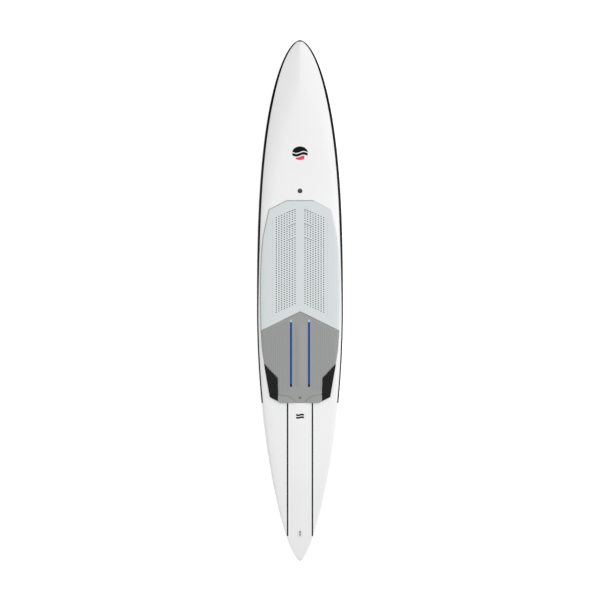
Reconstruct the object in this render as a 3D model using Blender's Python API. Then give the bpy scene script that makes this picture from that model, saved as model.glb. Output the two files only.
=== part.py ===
"""Downwind stand up paddleboard with twin foil tracks, as an assembly of its real pieces.

The nose points along +Y, the deck faces +Z and the origin is on the floor under the middle of the length.
The hull is a table of cross-sections worked out by formula: a superellipse outline in plan, a rocker line,
a deck line, and superellipse sections that turn from a ridged, V-shaped bow into a flat, boxy middle.
"""

import math

import bmesh
import bpy
from mathutils.bvhtree import BVHTree

# Hull, in metres.
LENGTH = 2.603
HALF_WIDTH = 0.2155
WIDE_Y = -0.051  # station of the widest section
THICKNESS = 0.128
NOSE_Y = LENGTH / 2
TAIL_Y = -LENGTH / 2
NOSE_PLAN = (1.78, 2.74)  # superellipse powers of the outline: across, along
TAIL_PLAN = (1.48, 1.87)
KEEL_FLAT = (-0.50, 0.20)  # the bottom is level between these stations
NOSE_ROCKER = 0.145
TAIL_ROCKER = 0.072
DECK_FLAT = (-0.60, 0.60)  # the deck line is level between these stations
NOSE_DECK = 0.180
TAIL_DECK = 0.104
APEX_SHARE = 0.56  # height of the rail's widest point, as a share of the local thickness
TIP_ROUND = 0.030  # length over which each tip closes in side view
CROWN_SHARE = 0.085  # how much lower the deck's edge lies than its middle

SKIN = 0.003
FIT = 0.0003  # gap between touching pieces
NUDGE = 0.0001  # keeps the end walls of two cutters apart
CUT_REACH = 0.01  # how far a cutter runs on past the surface it opens
BLANK_MARGIN = 0.05  # by which the slices of the foam blank reach beyond it
SLICE_Z = (-0.1, 0.4)
CORE_INSET = SKIN + 0.0005

STATIONS = 28
FLAT_ROWS = 4
RAIL_SHARES = (0.96, 0.86, 0.70, 0.50, 0.27, 0.0)  # shares of the local height down the rail's turn

# Stringers, foil tracks and their block.
STRINGER_X = 0.062
STRINGER_THICK = 0.006
TRACK_X = 0.045  # half of the 90 mm spacing of foil masts
TRACK_Y = -0.260
TRACK_SIZE = (0.025, 0.400, 0.025)
TRACK_RADIUS = 0.006
SLOT_WIDTH = 0.0096
SLOT_DEPTH = 0.022
SLOT_LENGTH = 0.364
CHANNEL_WIDTH = 0.0186
CHANNEL_Z = (0.0045, 0.0125)
MOUTH_LENGTH = 0.024  # wide end of the slot, where a nut drops in
BLOCK_Y = (-0.500, -0.020)
NUT_SIZE = (0.0178, 0.020, 0.0066)
NUT_BOSS = (0.0090, 0.0036)
NUT_BORE = 0.0034
NUT_SPACING = 0.165  # along the board, between the front and rear nuts

# Carry handle, sunk in the bottom just ahead of the tracks.
HANDLE_Y = 0.070
HANDLE_MOUTH = (0.088, 0.132)
HANDLE_WALL = 0.0025
HANDLE_FLANGE = 0.008
HANDLE_DEPTH = 0.046
HANDLE_RADIUS = 0.020
BAR_SIZE = (0.026, 0.018)
BAR_Z = 0.014
BAR_FLARE = (0.94, 1.25)  # where its ends start to widen, as a share of its half length, and by how much
BAR_STEPS = 20

# Vent plug on the deck ahead of the pad.
VENT_Y = 0.550
VENT_FLANGE = (0.0118, 0.0016)
VENT_CHAMFER = 0.0012
VENT_BARREL = (0.0080, 0.016)
VENT_SEAT = (0.0050, 0.0036)
VENT_BORE = 0.0029
SCREW_HEAD = (0.0044, 0.0024)
SCREW_SHANK = (0.0026, 0.0110)
SCREW_POINT = (0.0006, 0.0008)  # taper of the shank's end: across, along
SCREW_BEVEL = 0.0004
SCREW_SLOT = (0.0012, 0.0012)  # width and depth of the coin slot
RING_SIZE = (0.0037, 0.0007)

# Leash slot at the tail.
LEASH_Y = -1.1616
LEASH_SLOT = (0.0085, 0.0260)
LEASH_FLAT = 0.0002  # half of the straight part at each end of the slot
LEASH_PROUD = 0.0002
LEASH_WALL = 0.0022
LEASH_FLANGE = 0.004
LEASH_DEPTH = 0.014
PIN_RADIUS = 0.002
PIN_Z = -0.0052  # below the deck
PIN_SEAT = 0.6  # share of the cup's wall that each end of the pin goes into

# Traction pads.
PAD_THICK = 0.005
PAD_FLOOR = 0.05  # below every pad, where the cutters start
PAD_CEILING = 0.25  # above every pad, where they end
PAD_SIDE = (  # station and half width, from the front edge to the rear edge
    (0.5034, 0.0675),
    (0.4575, 0.1560),
    (0.3830, 0.1730),
    (0.3200, 0.1860),
    (0.2555, 0.1935),
    (0.1400, 0.1985),
    (0.0050, 0.2000),
    (-0.1495, 0.1970),
    (-0.2445, 0.1902),
    (-0.3160, 0.1790),
    (-0.4795, 0.1515),
    (-0.5010, 0.1085),
    (-0.5090, 0.0950),
)
SEAM_Y = (-0.0520, -0.1495)  # chevron between the pads: at the middle, at the edge
CORNER = ((0.2100, -0.2850), (0.1120, -0.3830), (0.1085, -0.5300), (0.2100, -0.5300))
LINE_SIZE = (0.011, 0.336)
LINE_DEPTH = 0.0022  # of the channel in the rear pad that each strip lies in
PAD_BLANK_REACH = 0.70  # the sheet the pads are cut from ends this far from the middle
PAD_BLANK_TRIM = 2  # rows of the deck section left off at each rail
KICK_ARCH = ((0.0240, -0.5045), (0.0360, -0.4920), (0.0585, -0.4770), (0.0900, -0.4712), (0.1440, -0.4675))
KICK_BACK_Y = -0.5080
KICK_BACK_TURN = 0.0950  # beyond this the back edge runs forward with the pad's
KICK_BACK_RISE = 0.54
KICK_COLUMNS = 12
KICK_LIP = 0.0006
KICK_SLOPE = 0.22
SHEET_GAP = 1.5 * FIT  # under the pads
WEDGE_GAP = 2.3 * FIT  # above the deck and the pads' thickness, under what is glued on them
ARCH_BAR_Y = (-0.435, -0.105)
ARCH_BAR_END = 0.030  # length over which each end of the arch bar rises
ARCH_BAR_LINE = ((0.0330, 0.0004), (0.0230, 0.0022), (0.0110, 0.0062), (0.0, 0.0076))  # half width, height

PAINT_WHITE = (0.86, 0.86, 0.86)
BLACK = (0.02, 0.02, 0.02)
EVA_PALE = (0.66, 0.70, 0.71)
EVA_GREY = (0.31, 0.32, 0.32)
EVA_BLUE = (0.04, 0.11, 0.30)
FOAM = (0.93, 0.93, 0.90)
PVC = (0.72, 0.62, 0.40)
STEEL = (0.60, 0.60, 0.61)


def smooth(value, start, end):
    share = min(max((value - start) / (end - start), 0.0), 1.0)
    return share * share * (3 - 2 * share)


def mix(first, second, share):
    return first + (second - first) * share


def between(points, value):
    """Straight-line reading of (place, size) points listed in rising or falling order of place."""
    for (low, size_low), (high, size_high) in zip(points, points[1:]):
        if min(low, high) <= value <= max(low, high):
            return mix(size_low, size_high, (value - low) / (high - low))
    return points[0][1] if abs(value - points[0][0]) < abs(value - points[-1][0]) else points[-1][1]


# ---------------------------------------------------------------- hull form


def half_breadth(y):
    ahead = y >= WIDE_Y
    run = NOSE_Y - WIDE_Y if ahead else WIDE_Y - TAIL_Y
    across, along = NOSE_PLAN if ahead else TAIL_PLAN
    share = min(abs(y - WIDE_Y) / run, 1.0)
    return HALF_WIDTH * (1 - share**along) ** (1 / across)


def keel_height(y):
    nose = max(0.0, (y - KEEL_FLAT[1]) / (NOSE_Y - KEEL_FLAT[1]))
    tail = max(0.0, (KEEL_FLAT[0] - y) / (KEEL_FLAT[0] - TAIL_Y))
    return FIT / 2 + NOSE_ROCKER * nose**2.3 + TAIL_ROCKER * tail**1.7


def deck_height(y):
    nose = max(0.0, (y - DECK_FLAT[1]) / (NOSE_Y - DECK_FLAT[1]))
    tail = max(0.0, (DECK_FLAT[0] - y) / (DECK_FLAT[0] - TAIL_Y))
    return THICKNESS + (NOSE_DECK - THICKNESS) * nose**2 - (THICKNESS - TAIL_DECK) * tail**2


def apex_height(y):
    return mix(keel_height(y), deck_height(y), APEX_SHARE)


def tip_closing(y):
    """1 along the board, falling round to 0 at each tip."""
    left = min(NOSE_Y - y, y - TAIL_Y) / TIP_ROUND
    return 1.0 if left >= 1 else math.sqrt(max(0.0, 1 - (1 - left) ** 2))


def deck_powers(y):
    nose, tail = smooth(y, 0.15, 1.15), smooth(-y, 0.15, 0.60)
    return mix(mix(16.0, 1.35, nose), 50.0, tail), mix(2.2, 1.5, nose)


def bottom_powers(y):
    nose, tail = smooth(y, 0.25, 1.15), smooth(-y, 0.55, 1.25)
    return mix(mix(5.0, 1.5, nose), 4.0, tail), mix(1.6, 1.4, nose)


def deck_share(y, across):
    """Height of the deck above the apex, as a share, at this share of the half width."""
    power, turn = deck_powers(y)
    return max(0.0, 1 - across**power) ** (1 / turn) * (1 - CROWN_SHARE * across**2)


def bottom_share(y, across):
    power, turn = bottom_powers(y)
    return max(0.0, 1 - across**power) ** (1 / turn)


def row_shares(powers):
    """Shares of the half width, close together where the rail turns."""
    power, turn = powers
    rail = [(1 - height**turn) ** (1 / power) for height in RAIL_SHARES]
    return [rail[0] * i / FLAT_ROWS for i in range(FLAT_ROWS)] + rail


def deck_surface(x, y):
    """Height of the painted deck at a point in plan."""
    across = min(abs(x) / half_breadth(y), 1.0)
    apex = apex_height(y)
    return apex + (deck_height(y) - apex) * tip_closing(y) * deck_share(y, across)


def half_section(y, inset, deck):
    """(x, z) from the middle to the rail of the deck or the bottom, inset from the outer surface."""
    apex, closing = apex_height(y), tip_closing(y)
    wide = half_breadth(y) - inset
    powers = deck_powers(y) if deck else bottom_powers(y)
    rise = (deck_height(y) - apex - inset) if deck else -(apex - keel_height(y) - inset)
    share = deck_share if deck else bottom_share
    return [(u * wide, apex + rise * closing * share(y, u)) for u in row_shares(powers)]


def full_section(y, inset, deck):
    """Points from the right rail over the middle to the left rail."""
    half = half_section(y, inset, deck)
    along = y * (1 - inset / NOSE_Y)
    return [(x, along, z) for x, z in reversed(half)] + [(-x, along, z) for x, z in half[1:]]


def stations():
    """Stations from tail to nose, closest together at the tips."""
    return [NOSE_Y * math.sin(math.pi * (i / STATIONS - 0.5)) for i in range(1, STATIONS)]


# ---------------------------------------------------------------- building tools


def material(name, colour, roughness, metallic=0.0):
    made = bpy.data.materials.get(name)
    if made:
        return made
    made = bpy.data.materials.new(name)
    made.use_nodes = True
    shader = made.node_tree.nodes["Principled BSDF"]
    shader.inputs["Base Color"].default_value = (*colour, 1.0)
    shader.inputs["Roughness"].default_value = roughness
    shader.inputs["Metallic"].default_value = metallic
    return made


def add_object(name, bm, finish=None, parent=None):
    """Turns a bmesh into an object. One without a finish is a cutter, which a render leaves out."""
    bmesh.ops.recalc_face_normals(bm, faces=bm.faces[:])
    mesh = bpy.data.meshes.new(name)
    bm.to_mesh(mesh)
    bm.free()
    obj = bpy.data.objects.new(name, mesh)
    bpy.context.scene.collection.objects.link(obj)
    obj.parent = parent
    if finish is None:
        obj.hide_render = True
        obj.display_type = "WIRE"
        return obj
    mesh.materials.append(finish)
    mesh.shade_smooth()
    mesh.set_sharp_from_angle(angle=math.radians(35))
    return obj


def add_boolean(obj, cutter, operation):
    modifier = obj.modifiers.new(f"{operation.lower()}_{cutter.name}", "BOOLEAN")
    modifier.operation = operation
    modifier.object = cutter
    modifier.solver = "EXACT"


def cut(obj, *cutters):
    for cutter in cutters:
        add_boolean(obj, cutter, "DIFFERENCE")


def loft(bm, rings, closed, split=False):
    """Faces between consecutive rings of points. Returns the rings of vertices.

    Split quads have their diagonal the same way on every shell, which keeps nested shells apart.
    """
    made = [[bm.verts.new(point) for point in ring] for ring in rings]
    for first, second in zip(made, made[1:]):
        count = len(first) if closed else len(first) - 1
        for i in range(count):
            j = (i + 1) % len(first)
            a, b, c, d = first[i], first[j], second[j], second[i]
            if not split:
                bm.faces.new((a, b, c, d))
            elif abs(a.co.x) < abs(b.co.x):
                bm.faces.new((a, b, c))
                bm.faces.new((a, c, d))
            else:
                bm.faces.new((a, b, d))
                bm.faces.new((b, c, d))
    return made


def fan(bm, ring, tip, closed):
    count = len(ring) if closed else len(ring) - 1
    for i in range(count):
        bm.faces.new((ring[i], ring[(i + 1) % len(ring)], tip))


def box_bmesh(low, high):
    bm = bmesh.new()
    bmesh.ops.create_cube(bm, size=1.0)
    for vert in bm.verts:
        for axis in range(3):
            vert.co[axis] = mix(low[axis], high[axis], vert.co[axis] + 0.5)
    return bm


def box_cutter(name, low, high):
    return add_object(name, box_bmesh(low, high))


def rounded_outline(size_x, size_y, radius, steps=4):
    """Corner points of a rounded rectangle centred on the origin."""
    points = []
    for quarter, (sx, sy) in enumerate(((1, 1), (-1, 1), (-1, -1), (1, -1))):
        for i in range(steps + 1):
            angle = math.pi / 2 * (quarter + i / steps)
            x = sx * (size_x / 2 - radius) + radius * math.cos(angle)
            y = sy * (size_y / 2 - radius) + radius * math.sin(angle)
            points.append((x, y))
    return points


def stack_bmesh(layers):
    """A closed solid through (outline, z) layers from bottom to top, all with as many points."""
    bm = bmesh.new()
    rings = loft(bm, [[(x, y, z) for x, y in outline] for outline, z in layers], True)
    bm.faces.new(rings[0])
    bm.faces.new(rings[-1])
    return bm


def prism_bmesh(outline, low, high):
    return stack_bmesh([(outline, low), (outline, high)])


def turned_bmesh(profile, steps=24):
    """Revolves closed (radius, z) points about Z. Points on the axis share one vertex."""
    bm = bmesh.new()
    rings = []
    for radius, z in profile:
        if radius < 1e-6:
            rings.append([bm.verts.new((0, 0, z))])
            continue
        turn = [2 * math.pi * i / steps for i in range(steps)]
        rings.append([bm.verts.new((radius * math.cos(a), radius * math.sin(a), z)) for a in turn])
    for first, second in zip(rings, rings[1:] + rings[:1]):
        for i in range(steps):
            j = (i + 1) % steps
            corners = [first[i % len(first)], first[j % len(first)]]
            corners += [second[j % len(second)], second[i % len(second)]]
            unique = list(dict.fromkeys(corners))
            if len(unique) > 2:
                bm.faces.new(unique)
    return bm


def moved(bm, x=0.0, y=0.0, z=0.0):
    bmesh.ops.translate(bm, vec=(x, y, z), verts=bm.verts[:])
    return bm


# ---------------------------------------------------------------- hull pieces


def skin_bmesh(deck):
    """Closed shell of the deck or the bottom, ending in a lip at the rail's apex."""
    bm = bmesh.new()
    faces = []
    for inset in (0.0, SKIN):
        rings = loft(bm, [full_section(y, inset, deck) for y in stations()], False, True)
        tips = []
        for end, ring in ((TAIL_Y, rings[0]), (NOSE_Y, rings[-1])):
            tips.append(bm.verts.new((0, end * (1 - inset / NOSE_Y), apex_height(end))))
            fan(bm, ring, tips[-1], False)
        right, left = [ring[0] for ring in rings], [ring[-1] for ring in rings]
        faces.append([tips[0], *right, tips[1], *reversed(left)])
    outer, inner = faces
    for i in range(len(outer)):
        j = (i + 1) % len(outer)
        bm.faces.new((outer[i], outer[j], inner[j], inner[i]))
    half_gap = FIT / 2 if deck else -FIT / 2
    return moved(bm, z=half_gap)


def core_bmesh():
    """The whole foam blank under the skins, before it is sliced into its pieces."""
    bm = bmesh.new()
    sections = []
    for y in stations():
        over = full_section(y, CORE_INSET, True)
        under = full_section(y, CORE_INSET, False)
        sections.append(over + under[-2:0:-1])
    rings = loft(bm, sections, True, True)
    for end, ring in ((TAIL_Y, rings[0]), (NOSE_Y, rings[-1])):
        fan(bm, ring, bm.verts.new((0, end * (1 - CORE_INSET / NOSE_Y), apex_height(end))), True)
    return bm


def core_slice(name, finish, x_range, y_range):
    """The part of the blank between two planes across and two planes along the board."""
    obj = add_object(name, core_bmesh(), finish)
    low, high = (x_range[0], y_range[0], SLICE_Z[0]), (x_range[1], y_range[1], SLICE_Z[1])
    add_boolean(obj, box_cutter(f"slice_{name}", low, high), "INTERSECT")
    return obj


def add_skins():
    paint = material("hull_paint", PAINT_WHITE, 0.25)
    deck = add_object("deck_skin", skin_bmesh(True), paint)
    return deck, add_object("bottom_skin", skin_bmesh(False), paint)


def add_core():
    """Foam blank glued up from four blocks, with two stringers and a dense block for the tracks."""
    foam, pvc = material("eps_foam", FOAM, 0.85), material("pvc_foam", PVC, 0.7)
    inner = STRINGER_X - STRINGER_THICK / 2
    outer = STRINGER_X + STRINGER_THICK / 2
    far, whole = HALF_WIDTH + BLANK_MARGIN, (TAIL_Y - BLANK_MARGIN, NOSE_Y + BLANK_MARGIN)
    for side, sign in (("left", -1), ("right", 1)):
        core_slice(f"foam_core_{side}", foam, sorted((sign * (outer + FIT), sign * far)), whole)
        core_slice(f"stringer_{side}", pvc, sorted((sign * inner, sign * outer)), whole)
    middle = (-inner + FIT, inner - FIT)
    nose = core_slice("foam_core_nose", foam, middle, (BLOCK_Y[1] + FIT, whole[1]))
    tail = core_slice("foam_core_tail", foam, middle, (whole[0], BLOCK_Y[0] - FIT))
    block = core_slice("track_block", pvc, middle, BLOCK_Y)
    return nose, tail, block


# ---------------------------------------------------------------- foil tracks


def track_outline(extra):
    return rounded_outline(TRACK_SIZE[0] + 2 * extra, TRACK_SIZE[1] + 2 * extra, TRACK_RADIUS + extra)


def add_tracks(bottom_skin, block):
    """Two bonded boxes with a T slot, open at the bottom of the board."""
    nylon = material("track_nylon", BLACK, 0.45)
    slot_end = SLOT_LENGTH / 2
    for side, sign in (("left", -1), ("right", 1)):
        x, top = sign * TRACK_X, FIT + TRACK_SIZE[2]
        track = add_object(
            f"foil_track_{side}", moved(prism_bmesh(track_outline(0), FIT, top), x, TRACK_Y), nylon
        )
        shapes = (
            ("slot", SLOT_WIDTH, -slot_end, -CUT_REACH, SLOT_DEPTH),
            ("channel", CHANNEL_WIDTH, -slot_end, *CHANNEL_Z),
            ("mouth", CHANNEL_WIDTH, slot_end - MOUTH_LENGTH, -CUT_REACH, CHANNEL_Z[1]),
        )
        for shape, width, start, low, high in shapes:
            nudge = 0.0 if shape == "slot" else NUDGE
            corner = (x - width / 2, TRACK_Y + start - nudge, low)
            far = (x + width / 2, TRACK_Y + slot_end + 2 * nudge * (shape == "mouth") + nudge, high + nudge)
            cut(track, box_cutter(f"{shape}_{side}", corner, far))
        pocket = moved(prism_bmesh(track_outline(FIT), -CUT_REACH, top + FIT), x, TRACK_Y)
        pocket = add_object(f"pocket_track_{side}", pocket)
        cut(bottom_skin, pocket)
        cut(block, pocket)


def nut_bmesh():
    """T nut lying on the slot's lips, its boss down in the slot, about its own middle."""
    width, length, height = NUT_SIZE
    boss_width, boss_height = NUT_BOSS
    half, boss = width / 2, boss_width / 2
    profile = ((-boss, -boss_height), (boss, -boss_height), (boss, 0), (half, 0))
    profile += ((half, height), (-half, height), (-half, 0), (-boss, 0))
    bm = bmesh.new()
    rings = loft(bm, [[(x, y, z) for x, z in profile] for y in (-length / 2, length / 2)], True)
    bm.faces.new(rings[0])
    bm.faces.new(rings[1])
    return bm


def add_nuts():
    steel = material("stainless_steel", STEEL, 0.3, 1.0)
    reach = NUT_SIZE[2] + CUT_REACH
    circle = [(NUT_BORE, -reach), (NUT_BORE, reach), (0, reach), (0, -reach)]
    for end, along in (("front", NUT_SPACING / 2), ("rear", -NUT_SPACING / 2)):
        for side, sign in (("left", -1), ("right", 1)):
            place = (sign * TRACK_X, TRACK_Y + along, CHANNEL_Z[0] + FIT)
            nut = add_object(f"t_nut_{end}_{side}", nut_bmesh(), steel)
            nut.location = place
            bore = add_object(f"bore_{end}_{side}", turned_bmesh(circle, 16))
            bore.location = place
            cut(nut, bore)


# ---------------------------------------------------------------- carry handle


def handle_outline(extra):
    x, y = HANDLE_MOUTH
    return rounded_outline(x + 2 * extra, y + 2 * extra, HANDLE_RADIUS + extra)


def add_handle(bottom_skin, core):
    """A moulded cup flush with the bottom, and the bar across it that the hand closes on."""
    plastic, carbon = material("moulded_plastic", BLACK, 0.5), material("carbon", BLACK, 0.3)
    outer = HANDLE_WALL
    rim = HANDLE_WALL + HANDLE_FLANGE
    flange_top = SKIN - FIT
    layers = [
        (handle_outline(rim), FIT),
        (handle_outline(rim), flange_top),
        (handle_outline(outer), flange_top),
        (handle_outline(outer), HANDLE_DEPTH + HANDLE_WALL),
    ]
    cup = add_object("handle_cup", moved(stack_bmesh(layers), y=HANDLE_Y), plastic)
    hollow = prism_bmesh(handle_outline(0), -CUT_REACH, HANDLE_DEPTH)
    cut(cup, add_object("hollow_handle", moved(hollow, y=HANDLE_Y)))
    opening = prism_bmesh(handle_outline(rim + FIT), -CUT_REACH, 2 * SKIN)
    cut(bottom_skin, add_object("opening_handle", moved(opening, y=HANDLE_Y)))
    pocket = prism_bmesh(handle_outline(outer + FIT), -CUT_REACH, HANDLE_DEPTH + HANDLE_WALL + FIT)
    cut(core, add_object("pocket_handle", moved(pocket, y=HANDLE_Y)))

    half_x, half_z = BAR_SIZE[0] / 2, BAR_SIZE[1] / 2
    reach = HANDLE_MOUTH[1] / 2 - FIT
    turn = [2 * math.pi * i / BAR_STEPS for i in range(BAR_STEPS)]
    rings = []
    for share in (-1, -BAR_FLARE[0], 0, BAR_FLARE[0], 1):  # flared where it meets the cup
        grow = BAR_FLARE[1] if abs(share) == 1 else 1.0
        y = HANDLE_Y + share * reach
        rings.append(
            [(grow * half_x * math.cos(a), y, BAR_Z + grow * half_z * math.sin(a)) for a in turn]
        )
    bm = bmesh.new()
    made = loft(bm, rings, True)
    bm.faces.new(made[0])
    bm.faces.new(made[-1])
    add_object("handle_bar", bm, carbon)


# ---------------------------------------------------------------- vent plug


def add_vent(deck_skin, core):
    """Threaded vent body, its seal and its screw. The screw's empty stands on the thread's axis."""
    plastic, steel = material("moulded_plastic", BLACK, 0.5), material("stainless_steel", STEEL, 0.3, 1.0)
    rubber = material("seal_rubber", BLACK, 0.7)
    mount = bpy.data.objects.new("vent_axis", None)
    bpy.context.scene.collection.objects.link(mount)
    mount.location = (0, VENT_Y, deck_surface(0, VENT_Y))

    flange, flange_thick = VENT_FLANGE
    barrel, depth = VENT_BARREL
    seat, seat_depth = VENT_SEAT
    low = FIT
    body = [
        (barrel, -depth),
        (barrel, low),
        (flange, low),
        (flange, low + 0.5 * flange_thick),
        (flange - VENT_CHAMFER, low + flange_thick),
        (seat, low + flange_thick),
        (seat, -seat_depth),
        (VENT_BORE, -seat_depth),
        (VENT_BORE, -depth),
    ]
    add_object("vent_body", turned_bmesh(body), plastic, mount)
    for target, deep in ((deck_skin, 2 * SKIN), (core, depth + FIT)):
        hole = [(0, -deep), (barrel + FIT, -deep), (barrel + FIT, CUT_REACH), (0, CUT_REACH)]
        name = "hole_vent" if target is deck_skin else "pocket_vent"
        cut(target, add_object(name, turned_bmesh(hole), parent=mount))

    ring_middle, ring_radius = RING_SIZE
    ring_z = -seat_depth + FIT + ring_radius
    turn = [2 * math.pi * i / 10 for i in range(10)]
    circle = [(ring_middle + ring_radius * math.cos(a), ring_z + ring_radius * math.sin(a)) for a in turn]
    add_object("vent_o_ring", turned_bmesh(circle), rubber, mount)

    head, head_thick = SCREW_HEAD
    shank, shank_length = SCREW_SHANK
    under = ring_z + ring_radius + FIT / 2
    top = under + head_thick
    screw = [
        (0, under - shank_length),
        (shank - SCREW_POINT[0], under - shank_length),
        (shank, under - shank_length + SCREW_POINT[1]),
        (shank, under),
        (head, under),
        (head, top - SCREW_BEVEL),
        (head - SCREW_BEVEL, top),
        (0, top),
    ]
    made = add_object("vent_screw", turned_bmesh(screw), steel, mount)
    half, deep = SCREW_SLOT[0] / 2, SCREW_SLOT[1]
    slot = box_bmesh((-half, -CUT_REACH, top - deep), (half, CUT_REACH, top + CUT_REACH))
    cut(made, add_object("slot_screw", slot, parent=mount))


# ---------------------------------------------------------------- leash slot


def leash_outline(extra):
    x, y = LEASH_SLOT
    return rounded_outline(x + 2 * extra, y + 2 * extra, x / 2 - LEASH_FLAT + extra)


def deck_tilt(y):
    """Angle about X that lays a piece flat on the deck line."""
    step = 0.01
    return math.atan2(deck_surface(0, y + step) - deck_surface(0, y - step), 2 * step)


def add_leash_slot(deck_skin, core):
    """A cup flush with the deck, and the pin across it that the leash string ties to."""
    plastic = material("white_plastic", PAINT_WHITE, 0.4)
    steel = material("stainless_steel", STEEL, 0.3, 1.0)
    mount = bpy.data.objects.new("leash_axis", None)
    bpy.context.scene.collection.objects.link(mount)
    mount.location = (0, LEASH_Y, deck_surface(0, LEASH_Y))
    mount.rotation_euler = (deck_tilt(LEASH_Y), 0, 0)

    wall = LEASH_WALL
    rim = wall + LEASH_FLANGE
    flange_low = -SKIN + FIT
    layers = [
        (leash_outline(wall), -LEASH_DEPTH - wall),
        (leash_outline(wall), flange_low),
        (leash_outline(rim), flange_low),
        (leash_outline(rim), LEASH_PROUD),
    ]
    cup = add_object("leash_cup", stack_bmesh(layers), plastic, mount)
    hollow = prism_bmesh(leash_outline(0), -LEASH_DEPTH, CUT_REACH)
    cut(cup, add_object("hollow_leash", hollow, parent=mount))
    opening = prism_bmesh(leash_outline(rim + FIT), -2 * SKIN, CUT_REACH)
    cut(deck_skin, add_object("opening_leash", opening, parent=mount))
    pocket = prism_bmesh(leash_outline(wall + FIT), -LEASH_DEPTH - wall - FIT, CUT_REACH)
    cut(core, add_object("pocket_leash", pocket, parent=mount))

    reach = LEASH_SLOT[0] / 2 + PIN_SEAT * wall
    for name, radius, half, finish in (
        ("hole_pin", PIN_RADIUS + FIT, reach + FIT, None),
        ("leash_pin", PIN_RADIUS, reach, steel),
    ):
        rod = turned_bmesh([(0, -half), (radius, -half), (radius, half), (0, half)], 16)
        for vert in rod.verts:
            vert.co = (vert.co.z, vert.co.y, vert.co.x + PIN_Z)
        made = add_object(name, rod, finish, mount)
        if finish is None:
            cut(cup, made)


# ---------------------------------------------------------------- traction pads


def pad_blank():
    """Sheet lying on the deck skin, facet for facet, from which the pads are cut."""
    bm = bmesh.new()
    sections = []
    for y in stations():
        if abs(y) < PAD_BLANK_REACH:
            line = full_section(y, 0.0, True)[PAD_BLANK_TRIM:-PAD_BLANK_TRIM]
            over = [(x, along, z + FIT + PAD_THICK) for x, along, z in line]
            under = [(x, along, z + SHEET_GAP) for x, along, z in line]
            sections.append(over + under[::-1])
    rings = loft(bm, sections, True, True)
    for ring in (rings[0], rings[-1]):
        last = len(ring) - 1
        for i in range(len(ring) // 2 - 1):
            bm.faces.new((ring[i], ring[i + 1], ring[last - 1 - i], ring[last - i]))
    return bm


def pad_piece(name, outline, finish, floor=PAD_FLOOR):
    """The part of the sheet inside an outline in plan, and above a floor."""
    obj = add_object(name, pad_blank(), finish)
    add_boolean(obj, add_object(f"outline_{name}", prism_bmesh(outline, floor, PAD_CEILING)), "INTERSECT")
    return obj


def both_sides(half):
    """Closed outline from the points of its right half, given from front to rear."""
    return list(half) + [(-x, y) for x, y in reversed(half) if x > 0]


def kick_bmesh(sign, deck):
    """Wedge on the rear corner of the pad, rising from a curved front edge to the pad's back edge."""
    tree = BVHTree.FromBMesh(deck)
    rows = []
    for i in range(KICK_COLUMNS + 1):
        x = mix(KICK_ARCH[0][0], KICK_ARCH[-1][0], i / KICK_COLUMNS)
        front = between(KICK_ARCH, x)
        back = KICK_BACK_Y + KICK_BACK_RISE * max(0.0, x - KICK_BACK_TURN)
        row = []
        for y in (front, back):
            base = tree.ray_cast((sign * x, y, PAD_CEILING), (0, 0, -1))[0].z + WEDGE_GAP + PAD_THICK
            row.append((sign * x, y, base, base + KICK_LIP + KICK_SLOPE * (front - y)))
        rows.append(row)
    rings = []
    for (x, front, low, high), (_, back, low_back, high_back) in rows:
        rings.append([(x, front, low), (x, back, low_back), (x, back, high_back), (x, front, high)])
    bm = bmesh.new()
    made = loft(bm, rings, True)
    bm.faces.new(made[0])
    bm.faces.new(made[-1])
    return bm


def arch_bar_bmesh(deck):
    """Low ridge glued along the middle of the rear pad, sloped at its sides and ends."""
    tree = BVHTree.FromBMesh(deck)
    rear, front = ARCH_BAR_Y
    foot = ARCH_BAR_LINE[0][1]
    across = list(ARCH_BAR_LINE) + [(-x, rise) for x, rise in reversed(ARCH_BAR_LINE[:-1])]
    rings = []
    for y, share in ((rear, 0), (rear + ARCH_BAR_END, 1), (front - ARCH_BAR_END, 1), (front, 0)):
        hits = [tree.ray_cast((x, y, PAD_CEILING), (0, 0, -1))[0] for x, _ in across]
        base = [hit.z + WEDGE_GAP + PAD_THICK for hit in hits]
        under = [(x, y, z) for (x, _), z in zip(across, base)]
        over = [(x, y, z + mix(foot, rise, share)) for (x, rise), z in zip(across, base)]
        rings.append(over + under[::-1])
    bm = bmesh.new()
    made = loft(bm, rings, True)
    bm.faces.new(made[0])
    bm.faces.new(made[-1])
    return bm


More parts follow.
